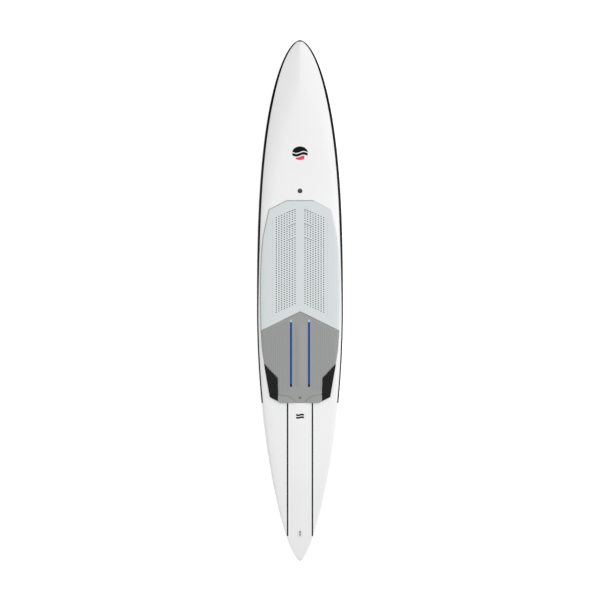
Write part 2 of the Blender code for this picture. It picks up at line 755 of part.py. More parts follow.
def add_pads():
    """Front pad, rear pad with its blue strips and arch bar, black corners and kick wedges."""
    pale, grey = material("eva_pale", EVA_PALE, 0.8), material("eva_grey", EVA_GREY, 0.8)
    black, blue = material("eva_black", BLACK, 0.8), material("eva_blue", EVA_BLUE, 0.8)
    seam_mid, seam_side = SEAM_Y
    seam_half = between([(y, half) for y, half in PAD_SIDE], seam_side)
    sides = [(half, y) for y, half in PAD_SIDE]
    front = [point for point in sides if point[1] > seam_side]
    front += [(seam_half, seam_side + FIT), (0.0, seam_mid + FIT)]
    rear = [(0.0, seam_mid - FIT), (seam_half, seam_side - FIT)]
    rear += [point for point in sides if point[1] < seam_side]
    pad_piece("deck_pad_front", both_sides(front), pale)
    rear_pad = pad_piece("deck_pad_rear", both_sides(rear), grey)
    deck = skin_bmesh(True)
    add_object("pad_arch_bar", arch_bar_bmesh(deck), grey)
    channel_floor = deck_surface(TRACK_X, TRACK_Y) + PAD_THICK - LINE_DEPTH
    for side, sign in (("left", -1), ("right", 1)):
        corner = pad_piece(f"pad_corner_{side}", [(sign * x, y) for x, y in CORNER], black)
        add_boolean(corner, bpy.data.objects["outline_deck_pad_rear"], "INTERSECT")
        (top_x, top_y), (in_x, in_y), (low_x, low_y), (far_x, far_y) = CORNER
        wider = [(top_x, top_y + 2 * FIT), (in_x - FIT, in_y + FIT), (low_x - FIT, low_y), (far_x, far_y)]
        wider = [(sign * x, y) for x, y in wider]
        wider = prism_bmesh(wider, PAD_FLOOR - CUT_REACH, PAD_CEILING + CUT_REACH)
        cut(rear_pad, add_object(f"cut_corner_{side}", wider))

        x, half, length = sign * TRACK_X, LINE_SIZE[0] / 2, LINE_SIZE[1] / 2
        strip = [(-half, -length), (half, -length), (half, length), (-half, length)]
        strip = [(x + dx, TRACK_Y + dy) for dx, dy in strip]
        pad_piece(f"pad_line_{side}", strip, blue, channel_floor + FIT)
        low = (x - half - FIT, TRACK_Y - length - FIT, channel_floor)
        high = (x + half + FIT, TRACK_Y + length + FIT, PAD_CEILING + CUT_REACH)
        cut(rear_pad, box_cutter(f"channel_{side}", low, high))
        add_object(f"pad_kick_{side}", kick_bmesh(sign, deck), grey)
    deck.free()


def main():
    for obj in list(bpy.data.objects):
        bpy.data.objects.remove(obj)
    deck_skin, bottom_skin = add_skins()
    core_nose, core_tail, block = add_core()
    add_tracks(bottom_skin, block)
    add_nuts()
    add_handle(bottom_skin, core_nose)
    add_vent(deck_skin, core_nose)
    add_leash_slot(deck_skin, core_tail)
    add_pads()


main()
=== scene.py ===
"""Looks of the downwind foil paddleboard: paint, pads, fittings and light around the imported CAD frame.

The frame gives every place and size that a piece shares with the CAD. The hull's form is the same formula
as the CAD's, sampled much more finely, so the painted shells and the pads lie on one smooth surface.
"""

import math

import bmesh
import bpy
import numpy as np
from mathutils import Matrix, Vector


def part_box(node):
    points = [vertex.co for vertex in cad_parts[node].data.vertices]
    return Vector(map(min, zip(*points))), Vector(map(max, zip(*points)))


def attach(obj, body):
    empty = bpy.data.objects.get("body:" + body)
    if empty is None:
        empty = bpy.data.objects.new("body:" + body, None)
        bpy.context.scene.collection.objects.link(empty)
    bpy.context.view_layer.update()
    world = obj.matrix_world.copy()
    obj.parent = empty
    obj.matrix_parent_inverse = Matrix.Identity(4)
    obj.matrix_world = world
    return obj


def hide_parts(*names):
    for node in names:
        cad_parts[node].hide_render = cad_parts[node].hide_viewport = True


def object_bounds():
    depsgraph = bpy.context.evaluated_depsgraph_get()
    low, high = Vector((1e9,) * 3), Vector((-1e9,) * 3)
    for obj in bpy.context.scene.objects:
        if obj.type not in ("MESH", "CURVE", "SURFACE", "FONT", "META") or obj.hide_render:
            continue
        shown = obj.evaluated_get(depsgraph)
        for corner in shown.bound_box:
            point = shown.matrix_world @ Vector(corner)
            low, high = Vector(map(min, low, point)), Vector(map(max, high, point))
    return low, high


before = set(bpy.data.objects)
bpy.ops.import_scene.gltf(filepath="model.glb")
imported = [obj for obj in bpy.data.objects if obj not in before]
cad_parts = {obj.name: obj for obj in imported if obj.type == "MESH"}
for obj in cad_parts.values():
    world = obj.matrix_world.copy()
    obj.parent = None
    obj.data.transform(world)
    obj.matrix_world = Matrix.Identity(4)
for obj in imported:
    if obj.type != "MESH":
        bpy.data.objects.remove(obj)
CAD_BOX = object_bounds()

# ---------------------------------------------------------------- sizes, in metres

MM = 0.001
FIT = 0.3 * MM  # gap between touching pieces
SIDES = (("left", -1), ("right", 1))
DECK_LOW, DECK_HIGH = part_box("deck_skin")
NOSE_Y, TAIL_Y = DECK_HIGH.y, DECK_LOW.y
HALF_WIDTH = DECK_HIGH.x
WIDE_Y = -0.051
THICKNESS = 0.128
NOSE_PLAN = (1.78, 2.74)  # superellipse powers of the outline: across, along
TAIL_PLAN = (1.48, 1.87)
KEEL_FLAT = (-0.50, 0.20)
NOSE_ROCKER = 0.145
TAIL_ROCKER = 0.072
DECK_FLAT = (-0.60, 0.60)
NOSE_DECK = 0.180
TAIL_DECK = 0.104
APEX_SHARE = 0.56
TIP_ROUND = 0.030
CROWN_SHARE = 0.085
KEEL_LIFT = 0.15 * MM

SHELL = 2.4 * MM
HULL_STATIONS = 200
PANEL_ROWS = 40  # rows of facets from the middle to the stripe
BAND_ROWS = 8  # and across the stripe

STRIPE_END_Y = -0.509
STRIPE_FORE = 12.8 * MM  # width in plan, forward and aft
STRIPE_AFT = 7.6 * MM
STRIPE_TIP = 9.2 * MM
STRIPE_NOSE = 5.8 * MM  # along the board, at the very tip of the nose
STRIPE_UNDER = 13 * MM  # below the rail's apex, along the surface

PAINT = (-0.05 * MM, 0.15 * MM)  # foot and top of painted lines and marks, from the deck
PINLINE_X = 0.0621
PINLINE_HALF = 3.5 * MM
PINLINE_END_Y = -1.1745
EMBLEM_Y = 0.7385
EMBLEM_SIZE = (0.040, 0.034)  # half of its width and length
TAIL_MARK = (-0.5750, 0.0195, 4.4 * MM)  # station, half width, and half thickness of its bars
PAD_MARK = (-0.4825, 0.0075, 0.0065)  # station and half sizes

PAD_THICK = 5.0 * MM
PAD_LIFT = 0.3 * MM
PAD_WALL = 1.1 * MM  # upright part of a pad's edge, below its bevel
PAD_BEVEL = 6.0 * MM
FRONT_BEVEL = 4.5 * MM  # on the front pad's free edges
CORNER_BEVEL = 3.0 * MM  # on the black corners' free edges
SEAM_BEVEL = 2.0 * MM
EDGE_TURN = 0.35  # cut faces that lean further than this to the right keep the pad's own colour; the rest, turned away from the key light, take a darker painted shade
SEAM_GAP = 0.5 * MM
FRONT_EDGE = ((0.0, 0.0459), (0.0675, 0.0459), (0.1560, 0.0))  # rise of the front edge over its corners
FRONT_SIDE = (  # station and half width of the front pad
    (0.4575, 0.1560),
    (0.3830, 0.1730),
    (0.3200, 0.1860),
    (0.2555, 0.1935),
    (0.1400, 0.1985),
    (0.0050, 0.2000),
    (-0.1495, 0.1970),
)
REAR_SIDE = (  # the grey part of the rear pad, which the black corners narrow
    (-0.1495, 0.1970),
    (-0.2445, 0.1902),
    (-0.3106, 0.1798),
    (-0.3840, 0.1108),
    (-0.5010, 0.1080),
    (-0.5090, 0.0950),
)
SEAM_RISE = 0.0975  # of the chevron's point over its ends
CORNER_TOP_Y = -0.3106
CORNER = ((0.1800, -0.3122), (0.1116, -0.3848), (0.1088, -0.5006), (0.1515, -0.4795))
LINE_X = 0.045
LINE_LOW, LINE_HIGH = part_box("pad_line_right")
KICK_ARCH = ((0.0240, -0.5045), (0.0360, -0.4920), (0.0585, -0.4770), (0.0900, -0.4712), (0.1440, -0.4675))
KICK_X = (0.0240, 0.1465)
KICK_SLOPE = 0.22
PAD_BACK = ((0.0950, -0.5090), (0.1085, -0.5010), (0.1515, -0.4795))  # the rear pad's back edge

HOLE_RADIUS = 2.8 * MM
HOLE_DEPTH = 3.2 * MM
HOLE_X = 0.025  # first column from the middle
HOLE_PITCH = (0.01334, 0.01152)  # across, along
HOLE_COLUMNS = 8
HOLE_FALL = 0.5 * MM  # each column's rows lie this much further back
HOLE_FRONT = (0.4600, 0.42)  # station of the pattern's front edge, and its fall for each metre outwards
HOLE_REAR = (-0.0225, 0.48)
HOLE_CLEAR = 4.0 * MM  # from a hole's centre to the middle of a slanted groove
DIMPLE_X = 0.1365  # a last column of faint, shallow dimples
DIMPLE = (1.3 * MM, 0.8 * MM)  # radius, depth
GROOVE_Y = (0.4592, 0.3890, 0.3203)
GROOVE_X = (0.0205, 0.0685)
GROOVE_FALL = 0.402  # for each metre outwards
GROOVE_HALF = 1.2 * MM
GROOVE_DEPTH = 1.8 * MM
FINE_GROOVE = 0.6 * MM  # depth of the grooves along the board
LINE_DEPTH = 2.2 * MM  # of the channels for the blue strips and in front of the kicks

ARCH_HALF = 0.034  # of the rear pad's arch bar, at its foot
ARCH_RISE = 7.6 * MM
ARCH_Y = (-0.105, -0.435)


def smooth(value, start, end):
    share = min(max((value - start) / (end - start), 0.0), 1.0)
    return share * share * (3 - 2 * share)


def mix(first, second, share):
    return first + (second - first) * share


def between(points, value):
    """Straight-line reading of (place, size) points, held level beyond both ends."""
    for (low, size_low), (high, size_high) in zip(points, points[1:]):
        if min(low, high) <= value <= max(low, high):
            return mix(size_low, size_high, (value - low) / (high - low))
    return points[0][1] if abs(value - points[0][0]) < abs(value - points[-1][0]) else points[-1][1]


# ---------------------------------------------------------------- hull form, as in the CAD


def half_breadth(y):
    ahead = y >= WIDE_Y
    run = NOSE_Y - WIDE_Y if ahead else WIDE_Y - TAIL_Y
    across, along = NOSE_PLAN if ahead else TAIL_PLAN
    share = min(abs(y - WIDE_Y) / run, 1.0)
    return HALF_WIDTH * (1 - share**along) ** (1 / across)


def keel_height(y):
    nose = max(0.0, (y - KEEL_FLAT[1]) / (NOSE_Y - KEEL_FLAT[1]))
    tail = max(0.0, (KEEL_FLAT[0] - y) / (KEEL_FLAT[0] - TAIL_Y))
    return KEEL_LIFT + NOSE_ROCKER * nose**2.3 + TAIL_ROCKER * tail**1.7


def deck_height(y):
    nose = max(0.0, (y - DECK_FLAT[1]) / (NOSE_Y - DECK_FLAT[1]))
    tail = max(0.0, (DECK_FLAT[0] - y) / (DECK_FLAT[0] - TAIL_Y))
    return THICKNESS + (NOSE_DECK - THICKNESS) * nose**2 - (THICKNESS - TAIL_DECK) * tail**2


def apex_height(y):
    return mix(keel_height(y), deck_height(y), APEX_SHARE)


def tip_closing(y):
    """1 along the board, falling round to 0 at each tip."""
    left = min(NOSE_Y - y, y - TAIL_Y) / TIP_ROUND
    return 1.0 if left >= 1 else math.sqrt(max(0.0, 1 - (1 - left) ** 2))


def deck_powers(y):
    nose, tail = smooth(y, 0.15, 1.15), smooth(-y, 0.15, 0.60)
    return mix(mix(16.0, 1.35, nose), 50.0, tail), mix(2.2, 1.5, nose)


def bottom_powers(y):
    nose, tail = smooth(y, 0.25, 1.15), smooth(-y, 0.55, 1.25)
    return mix(mix(5.0, 1.5, nose), 4.0, tail), mix(1.6, 1.4, nose)


def deck_z(x, y):
    """Height of the painted deck at a point in plan."""
    power, turn = deck_powers(y)
    across = min(abs(x) / max(half_breadth(y), 1e-6), 1.0)
    share = (1 - across**power) ** (1 / turn) * (1 - CROWN_SHARE * across**2)
    apex = apex_height(y)
    return apex + (deck_height(y) - apex) * tip_closing(y) * share


def deck_frame(x, y):
    """Matrix at a point of the deck, Z along the deck's normal and Y towards the nose."""
    step = 2 * MM
    along = Vector((0, 2 * step, deck_z(x, y + step) - deck_z(x, y - step))).normalized()
    across = Vector((2 * step, 0, deck_z(x + step, y) - deck_z(x - step, y))).normalized()
    up = across.cross(along).normalized()
    side = along.cross(up)
    return Matrix.Translation((x, y, deck_z(x, y))) @ Matrix((side, along, up)).transposed().to_4x4()


# ---------------------------------------------------------------- materials


class Finish:
    """A Principled material and the nodes that colour and roughen it."""

    def __init__(self, name, colour, roughness, metallic=0.0):
        self.made = bpy.data.materials.new(name)
        self.made.use_nodes = True
        self.tree = self.made.node_tree
        self.shader = self.tree.nodes["Principled BSDF"]
        self.set(**{"Base Color": (*colour, 1.0), "Roughness": roughness, "Metallic": metallic})
        self.place = self.tree.nodes.new("ShaderNodeTexCoord").outputs["Object"]

    def set(self, **values):
        for name, value in values.items():
            self.shader.inputs[name].default_value = value

    def node(self, kind, **settings):
        made = self.tree.nodes.new(kind)
        for name, value in settings.items():
            if name in made.inputs:
                made.inputs[name].default_value = value
            else:
                setattr(made, name, value)
        return made

    def link(self, source, target):
        self.tree.links.new(source, target)

    def stretched(self, scale):
        """Object coordinates multiplied by a scale for each axis."""
        mapping = self.node("ShaderNodeMapping")
        mapping.inputs["Scale"].default_value = scale
        self.link(self.place, mapping.inputs["Vector"])
        return mapping.outputs["Vector"]

    def noise(self, scale, detail=2.0, stretch=(1, 1, 1)):
        made = self.node("ShaderNodeTexNoise", Scale=scale, Detail=detail)
        self.link(self.stretched(stretch), made.inputs["Vector"])
        return made.outputs["Fac"]

    def ramp(self, fac, *stops):
        """Colour ramp through (position, colour) stops. A plain number stands for a grey."""
        made = self.node("ShaderNodeValToRGB")
        ramp = made.color_ramp
        while len(ramp.elements) < len(stops):
            ramp.elements.new(0.5)
        for element, (position, colour) in zip(ramp.elements, stops):
            element.position = position
            grey = (colour,) * 3 if isinstance(colour, (int, float)) else colour
            element.color = (*grey, 1.0)
        self.link(fac, made.inputs["Fac"])
        return made.outputs["Color"]

    def colour(self, fac, *stops):
        self.link(self.ramp(fac, *stops), self.shader.inputs["Base Color"])

    def roughness(self, fac, low, high):
        self.link(self.ramp(fac, (0.3, low), (0.7, high)), self.shader.inputs["Roughness"])

    def bump(self, height, distance, strength=1.0):
        """Adds relief over what is there and returns the material, since it is every finish's last step."""
        made = self.node("ShaderNodeBump", Distance=distance, Strength=strength)
        self.link(height, made.inputs["Height"])
        normal = self.shader.inputs["Normal"]
        if normal.links:
            self.link(normal.links[0].from_socket, made.inputs["Normal"])
        self.link(made.outputs["Normal"], normal)
        return self.made


def shade(colour, amount):
    return tuple(min(1.0, channel * amount) for channel in colour)


def gloss_paint(name, colour):
    """Sprayed and polished two-pack paint: faint clouding, orange peel and a clear coat."""
    finish = Finish(name, colour, 0.32)
    finish.set(**{"Coat Weight": 0.22, "Coat Roughness": 0.12, "Specular IOR Level": 0.25})
    clouds = finish.noise(3.0, 4.0)
    finish.colour(clouds, (0.3, shade(colour, 0.988)), (0.7, shade(colour, 1.012)))
    finish.roughness(finish.noise(40.0, 3.0), 0.36, 0.46)
    return finish.bump(finish.noise(350.0, 1.0), 0.03 * MM, 0.35)


def satin_line(name, colour):
    """Masked and sprayed line paint, left flat rather than polished."""
    finish = Finish(name, colour, 0.55)
    finish.set(**{"Specular IOR Level": 0.05})
    finish.colour(finish.noise(14.0, 4.0), (0.3, shade(colour, 0.75)), (0.7, shade(colour, 1.3)))
    finish.roughness(finish.noise(60.0, 3.0), 0.48, 0.62)
    return finish.bump(finish.noise(350.0, 1.0), 0.03 * MM, 0.35)


def eva_foam(name, colour, spread=0.05, cell=900.0):
    """Cut closed-cell foam: a fine open-cell surface, faint mottling and a soft sheen."""
    finish = Finish(name, colour, 0.86)
    finish.set(**{"Specular IOR Level": 0.12, "Sheen Weight": 0.04, "Sheen Roughness": 0.5})
    grain = finish.noise(cell, 4.0)
    finish.colour(grain, (0.25, shade(colour, 1 - spread)), (0.75, shade(colour, 1 + spread)))
    finish.roughness(finish.noise(60.0, 3.0), 0.80, 0.93)
    finish.bump(finish.noise(24.0, 2.0), 0.12 * MM, 0.4)
    return finish.bump(grain, 0.12 * MM, 0.8)


def moulded_plastic(name, colour, roughness=0.45):
    """Injection-moulded plastic with a fine spark texture."""
    finish = Finish(name, colour, roughness)
    grain = finish.noise(1500.0, 2.0)
    finish.colour(finish.noise(90.0, 3.0), (0.3, shade(colour, 0.9)), (0.7, shade(colour, 1.12)))
    finish.roughness(finish.noise(300.0, 2.0), roughness - 0.06, roughness + 0.08)
    return finish.bump(grain, 0.05 * MM, 0.5)


def brushed_steel(name, axis, tone=0.62):
    """Stainless steel, bright or blackened, with fine lines across one axis."""
    finish = Finish(name, (tone, tone, tone), 0.28, 1.0)
    stretch = [40.0, 40.0, 40.0]
    stretch[axis] = 2.0
    lines = finish.noise(60.0, 3.0, stretch)
    finish.colour(lines, (0.3, 0.84 * tone), (0.7, 1.12 * tone))
    finish.roughness(lines, 0.20, 0.36)
    return finish.bump(lines, 0.02 * MM, 0.4)


def carbon_twill():
    """Two-by-two carbon twill under satin lacquer, woven by two waves at right angles."""
    finish = Finish("carbon_twill", (0.03, 0.03, 0.032), 0.35)
    finish.set(**{"Coat Weight": 0.8, "Coat Roughness": 0.08})
    tows = []
    for stretch in ((1, 1, 1), (1, -1, 1)):
        wave = finish.node("ShaderNodeTexWave", Scale=85.0, bands_direction="DIAGONAL")
        finish.link(finish.stretched(stretch), wave.inputs["Vector"])
        tows.append(wave.outputs["Fac"])
    weave = finish.node("ShaderNodeMath", operation="GREATER_THAN")
    finish.link(tows[0], weave.inputs[0])
    finish.link(tows[1], weave.inputs[1])
    finish.colour(weave.outputs[0], (0.2, 0.018), (0.8, 0.050))
    finish.roughness(weave.outputs[0], 0.26, 0.42)
    return finish.bump(tows[0], 0.15 * MM, 0.5)


def foam_beads(name, colour, scale):
    """Expanded foam seen as packed beads."""
    finish = Finish(name, colour, 0.9)
    cells = finish.node("ShaderNodeTexVoronoi", Scale=scale)
    finish.link(finish.place, cells.inputs["Vector"])
    gap = cells.outputs["Distance"]
    finish.colour(gap, (0.2, shade(colour, 1.02)), (0.7, shade(colour, 0.88)))
    return finish.bump(gap, -0.3 * MM, 0.7)


def studio_floor():
    """Pale floor, lit from within so that the board's soft shadow on it stays faint."""
    finish = Finish("studio_floor", (0.80, 0.80, 0.80), 0.9)
    white = (1.0, 1.0, 1.0, 1.0)
    finish.set(**{"Emission Color": white, "Emission Strength": 0.45, "Specular IOR Level": 0.0})
    return finish.made


PAINT_WHITE = (0.83, 0.83, 0.834)
BLACK_PAINT = (0.006, 0.006, 0.0065)
EVA_PALE = (0.670, 0.708, 0.716)
EVA_GREY = (0.331, 0.338, 0.333)
EVA_BLACK = (0.014, 0.0145, 0.014)
EVA_BLUE = (0.022, 0.086, 0.300)
EVA_SKY = (0.43, 0.57, 0.63)


# ---------------------------------------------------------------- mesh tools

SHARP_ANGLE = math.radians(35)
TINY = 1e-7  # a radius this small is a point on the axis


def solid_object(name, bm, finishes):
    """Turns a bmesh into an object with its faces pointing outwards."""
    bmesh.ops.recalc_face_normals(bm, faces=bm.faces[:])
    mesh = bpy.data.meshes.new(name)
    bm.to_mesh(mesh)
    bm.free()
    obj = bpy.data.objects.new(name, mesh)
    bpy.context.scene.collection.objects.link(obj)
    for finish in finishes:
        mesh.materials.append(finish)
    return obj


def shade_with_edges(mesh):
    mesh.shade_smooth()
    mesh.set_sharp_from_angle(angle=SHARP_ANGLE)


def make(name, bm, *finishes, body="board", slot=None, replaces=()):
    """Makes a smooth-shaded piece that rides on a body."""
    obj = solid_object(name, bm, finishes)
    shade_with_edges(obj.data)
    if body:
        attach(obj, body)
    if replaces:
        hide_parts(*replaces)
    return obj


def carve(obj, bm):
    """Cuts a solid out of a piece for good. Faces left by the cutter keep its material slot."""
    cutter = solid_object("cutter", bm, obj.data.materials)
    modifier = obj.modifiers.new("cut", "BOOLEAN")
    modifier.operation = "DIFFERENCE"
    modifier.solver = "MANIFOLD"
    modifier.object = cutter
    evaluated = obj.evaluated_get(bpy.context.evaluated_depsgraph_get())
    result = bpy.data.meshes.new_from_object(evaluated)
    obj.modifiers.clear()
    old, name = obj.data, obj.data.name
    obj.data = result
    bpy.data.meshes.remove(old)
    result.name = name
    shade_with_edges(result)
    mesh = cutter.data
    bpy.data.objects.remove(cutter)
    bpy.data.meshes.remove(mesh)


def loft(bm, rings, slot=0):
    """Quads between consecutive closed rings of points. Returns the rings of vertices."""
    made = [[bm.verts.new(point) for point in ring] for ring in rings]
    for first, second in zip(made, made[1:]):
        for i in range(len(first)):
            j = (i + 1) % len(first)
            bm.faces.new((first[i], first[j], second[j], second[i])).material_index = slot
    return made


def capped(bm, rings, slot=0):
    """A loft with a face over its first and last ring."""
    made = loft(bm, rings, slot)
    for ring in (made[0], made[-1]):
        bm.faces.new(ring).material_index = slot


def circle_outline(radius, steps=48):
    turn = [2 * math.pi * i / steps for i in range(steps)]
    return [(radius * math.cos(a), radius * math.sin(a)) for a in turn]


def rectangle(size_x, size_y):
    x, y = size_x / 2, size_y / 2
    return [(-x, -y), (x, -y), (x, y), (-x, y)]


def rounded_outline(size_x, size_y, radius, steps=10):
    """Corner points of a rounded rectangle centred on the origin."""
    points = []
    for quarter, (sx, sy) in enumerate(((1, 1), (-1, 1), (-1, -1), (1, -1))):
        for i in range(steps + 1):
            angle = math.pi / 2 * (quarter + i / steps)
            x = sx * (size_x / 2 - radius) + radius * math.cos(angle)
            y = sy * (size_y / 2 - radius) + radius * math.sin(angle)
            points.append((x, y))
    return points


def grown(size, extra, radius):
    return rounded_outline(size[0] + 2 * extra, size[1] + 2 * extra, radius + extra)


def at_place(outline, x, y):
    return [(px + x, py + y) for px, py in outline]


def stack(bm, layers):
    """A closed solid through (outline, z) layers, all with as many points."""
    capped(bm, [[(x, y, z) for x, y in outline] for outline, z in layers])


def cut_prism(obj, outline, low, high, place=Matrix()):
    """Cuts an upright prism out of a piece."""
    cutter = bmesh.new()
    stack(cutter, [(outline, low), (outline, high)])
    carve(obj, transformed(cutter, place))


def turned(bm, profile, steps):
    """Revolves closed (radius, z) points about Z. Points on the axis share one vertex."""
    rings = []
    for radius, z in profile:
        outline = circle_outline(radius, steps) if radius > TINY else [(0, 0)]
        rings.append([bm.verts.new((x, y, z)) for x, y in outline])
    for first, second in zip(rings, rings[1:] + rings[:1]):
        for i in range(steps):
            j = (i + 1) % steps
            corners = [first[i % len(first)], first[j % len(first)]]
            corners += [second[j % len(second)], second[i % len(second)]]
            unique = list(dict.fromkeys(corners))
            if len(unique) > 2:
                bm.faces.new(unique)


def rounded_profile(corners, radius):
    """Closed (radius, z) profile with its marked corners rounded. A corner is (r, z) or (r, z, round)."""
    points = []
    count, steps = len(corners), 4
    for i, corner in enumerate(corners):
        here = Vector(corner[:2])
        size = corner[2] if len(corner) > 2 else radius
        if size <= 0 or here.x < TINY:
            points.append(tuple(here))
            continue
        before = Vector(corners[i - 1][:2]) - here
        after = Vector(corners[(i + 1) % count][:2]) - here
        reach = min(size, before.length * 0.45, after.length * 0.45)
        start, end = here + before.normalized() * reach, here + after.normalized() * reach
        for k in range(steps + 1):
            t = k / steps
            points.append(tuple(start * (1 - t) ** 2 + here * 2 * t * (1 - t) + end * t**2))
    return points


def transformed(bm, matrix):
    bmesh.ops.transform(bm, matrix=matrix, verts=bm.verts[:])
    return bm


def deck_solid(bm, rows, base, slot=0):
    """Closed solid over the deck, between a base height and the height of each (x, y, height) grid point."""
    rings = []
    for row in rows:
        over = [(x, y, deck_z(x, y) + height) for x, y, height in row]
        under = [(x, y, deck_z(x, y) + base) for x, y, _ in row]
        rings.append(over + under[::-1])
    made = loft(bm, rings, slot)
    for ring in (made[0], made[-1]):
        last = len(ring) - 1
        for i in range(len(ring) // 2 - 1):
            bm.faces.new((ring[i], ring[i + 1], ring[last - 1 - i], ring[last - i])).material_index = slot


def deck_sheet(bm, rows, low, high, slot=0):
    """Closed sheet over a grid of (x, y) rows, between two heights above the deck."""
    deck_solid(bm, [[(x, y, high) for x, y in row] for row in rows], low, slot)


# ---------------------------------------------------------------- painted hull


def stripe_width(y):
    """Width in plan of the black rail stripe."""
    middle = mix(STRIPE_AFT, STRIPE_FORE, smooth(y, -0.11, 0.40))
    return mix(middle, STRIPE_TIP, smooth(y, 0.98, 1.28))


def section_curve(y, inset, deck):
    """Finely sampled (x, z) from the middle to the rail of the deck or the bottom."""
    turn_angle = np.linspace(0, math.pi / 2, 500)
    power, turn = deck_powers(y) if deck else bottom_powers(y)
    share_x = np.sin(turn_angle) ** (2 / power)
    share_z = np.cos(turn_angle) ** (2 / turn)
    if deck:
        share_z = share_z * (1 - CROWN_SHARE * share_x**2)
    apex = apex_height(y)
    rise = (deck_height(y) - apex - inset) if deck else -(apex - keel_height(y) - inset)
    return share_x * (half_breadth(y) - inset), apex + rise * tip_closing(y) * share_z


def hull_row(y, inset, deck):
    """Points from the middle to the rail, evenly spaced up to the stripe's edge and on across it."""
    xs, zs = section_curve(y, inset, deck)
    length = np.concatenate(([0.0], np.cumsum(np.hypot(np.diff(xs), np.diff(zs)))))
    whole = length[-1]
    if deck:
        edge = float(np.interp(xs[-1] - min(stripe_width(y), 0.45 * xs[-1]), xs, length))
    else:
        edge = whole - min(STRIPE_UNDER, 0.3 * whole)
    panel = np.linspace(0, edge, PANEL_ROWS + 1)
    places = np.concatenate((panel, np.linspace(edge, whole, BAND_ROWS + 1)[1:]))
    return list(zip(np.interp(places, length, xs), np.interp(places, length, zs)))


def hull_stations():
    """Stations close together at the tips, with one exactly at the stripe's end."""
    places = [NOSE_Y * math.sin(math.pi * (i / HULL_STATIONS - 0.5)) for i in range(1, HULL_STATIONS)]
    nearest = min(range(len(places)), key=lambda i: abs(places[i] - STRIPE_END_Y))
    places[nearest] = STRIPE_END_Y
    return places


def hull_shell(deck):
    """Closed shell of the deck or the bottom. Faces in the stripe have the second material."""
    bm = bmesh.new()
    edges = []
    for inset in (0.0, SHELL):
        rings = []
        for y in hull_stations():
            half = hull_row(y, inset, deck)
            along = y * (1 - inset / NOSE_Y)
            ring = [(x, along, z) for x, z in reversed(half)] + [(-x, along, z) for x, z in half[1:]]
            rings.append([bm.verts.new(point) for point in ring])
        columns = len(rings[0]) - 1
        for first, second in zip(rings, rings[1:]):
            striped = first[0].co.y > STRIPE_END_Y - MM and inset == 0
            tip = second[0].co.y > NOSE_Y - STRIPE_NOSE
            for i in range(columns):
                face = bm.faces.new((first[i], first[i + 1], second[i + 1], second[i]))
                face.material_index = int(striped and (tip or i < BAND_ROWS or i >= columns - BAND_ROWS))
        tips = []
        for end, ring in ((TAIL_Y, rings[0]), (NOSE_Y, rings[-1])):
            tips.append(bm.verts.new((0, end * (1 - inset / NOSE_Y), apex_height(end))))
            for i in range(columns):
                face = bm.faces.new((ring[i], ring[i + 1], tips[-1]))
                face.material_index = int(end == NOSE_Y)
        right, left = [ring[0] for ring in rings], [ring[-1] for ring in rings]
        edges.append([tips[0], *right, tips[1], *reversed(left)])
    outer, inner = edges
    for i in range(len(outer)):
        j = (i + 1) % len(outer)
        bm.faces.new((outer[i], outer[j], inner[j], inner[i]))
    return bm


def add_hull(white, black):
    upper, lower = hull_shell(True), hull_shell(False)
    deck = make("deck_shell", upper, white, black, slot="hull_paint", replaces=["deck_skin"])
    bottom = make("bottom_shell", lower, white, black, slot="hull_paint", replaces=["bottom_skin"])
    return deck, bottom


# ---------------------------------------------------------------- painted lines and marks


def add_pinlines(black):
    """Two lines down the tail, over the stringers, out to where they run off the rail."""
    start = REAR_SIDE[-1][0] - MM
    for side, sign in SIDES:
        bm = bmesh.new()
        rows = []
        for i in range(121):
            y = mix(start, PINLINE_END_Y, math.sin(math.pi / 2 * i / 120))
            middle = sign * PINLINE_X
            rows.append([(middle + PINLINE_HALF * share, y) for share in (-1, -0.5, 0, 0.5, 1)])
        deck_sheet(bm, rows, *PAINT)
        make(f"pinline_{side}", bm, black, slot="hull_paint")


def wave_band(bm, station, span, low, high, heights=PAINT, columns=48):
    """Flat mark on the deck between two curves, low(x) and high(x), about a station."""
    rows = []
    for i in range(columns + 1):
        x = mix(-span, span, i / columns)
        bottom, top = low(x), high(x)
        if top - bottom > 0.1 * MM:
            rows.append([(x, station + mix(bottom, top, k / 6)) for k in range(7)])
    deck_sheet(bm, rows, *heights)


def add_marks(black, red, grey):
    """A wave emblem on the foredeck, two wavy bars behind the pads and a dot on the rear pad."""
    wide, tall = EMBLEM_SIZE

    def oval(x, half_width, half_length):
        return half_length * math.sqrt(max(0.0, 1 - (x / half_width) ** 2))

    def rim(x):
        return oval(x, wide, tall)

    def swell(x, level):
        return level + 0.005 * math.sin(x / wide * math.pi * 1.1)

    def wave_line(level):
        return lambda x: max(swell(x, level), -rim(x))

    waves = bmesh.new()
    wave_band(waves, EMBLEM_Y, wide, wave_line(0.006), rim)
    wave_band(waves, EMBLEM_Y, wide, wave_line(-0.012), lambda x: min(swell(x, 0.006) - 0.005, rim(x)))
    make("foredeck_emblem", waves, black, slot="hull_paint")
    red_wave = bmesh.new()
    wave_band(red_wave, EMBLEM_Y, 0.022, lambda x: -rim(x), lambda x: swell(x, -0.017))
    make("foredeck_emblem_red", red_wave, red, slot="hull_paint")

    bars = bmesh.new()
    station, span, half = TAIL_MARK
    for level in (0.0065, -0.0065):
        curve = lambda x, level=level: level + 0.0018 * math.sin(x / span * math.pi)
        wave_band(bars, station, span, lambda x: curve(x) - half, lambda x: curve(x) + half)
    make("tail_mark", bars, black, slot="hull_paint")

    dot = bmesh.new()
    station, across, along = PAD_MARK
    edge = lambda x: oval(x, across, along)
    heights = (PAD_THICK - 0.1 * MM, PAD_THICK + 0.1 * MM)
    wave_band(dot, station, across, lambda x: -edge(x), edge, heights, 16)
    make("pad_mark", dot, grey, slot="eva_black")


# ---------------------------------------------------------------- traction pads


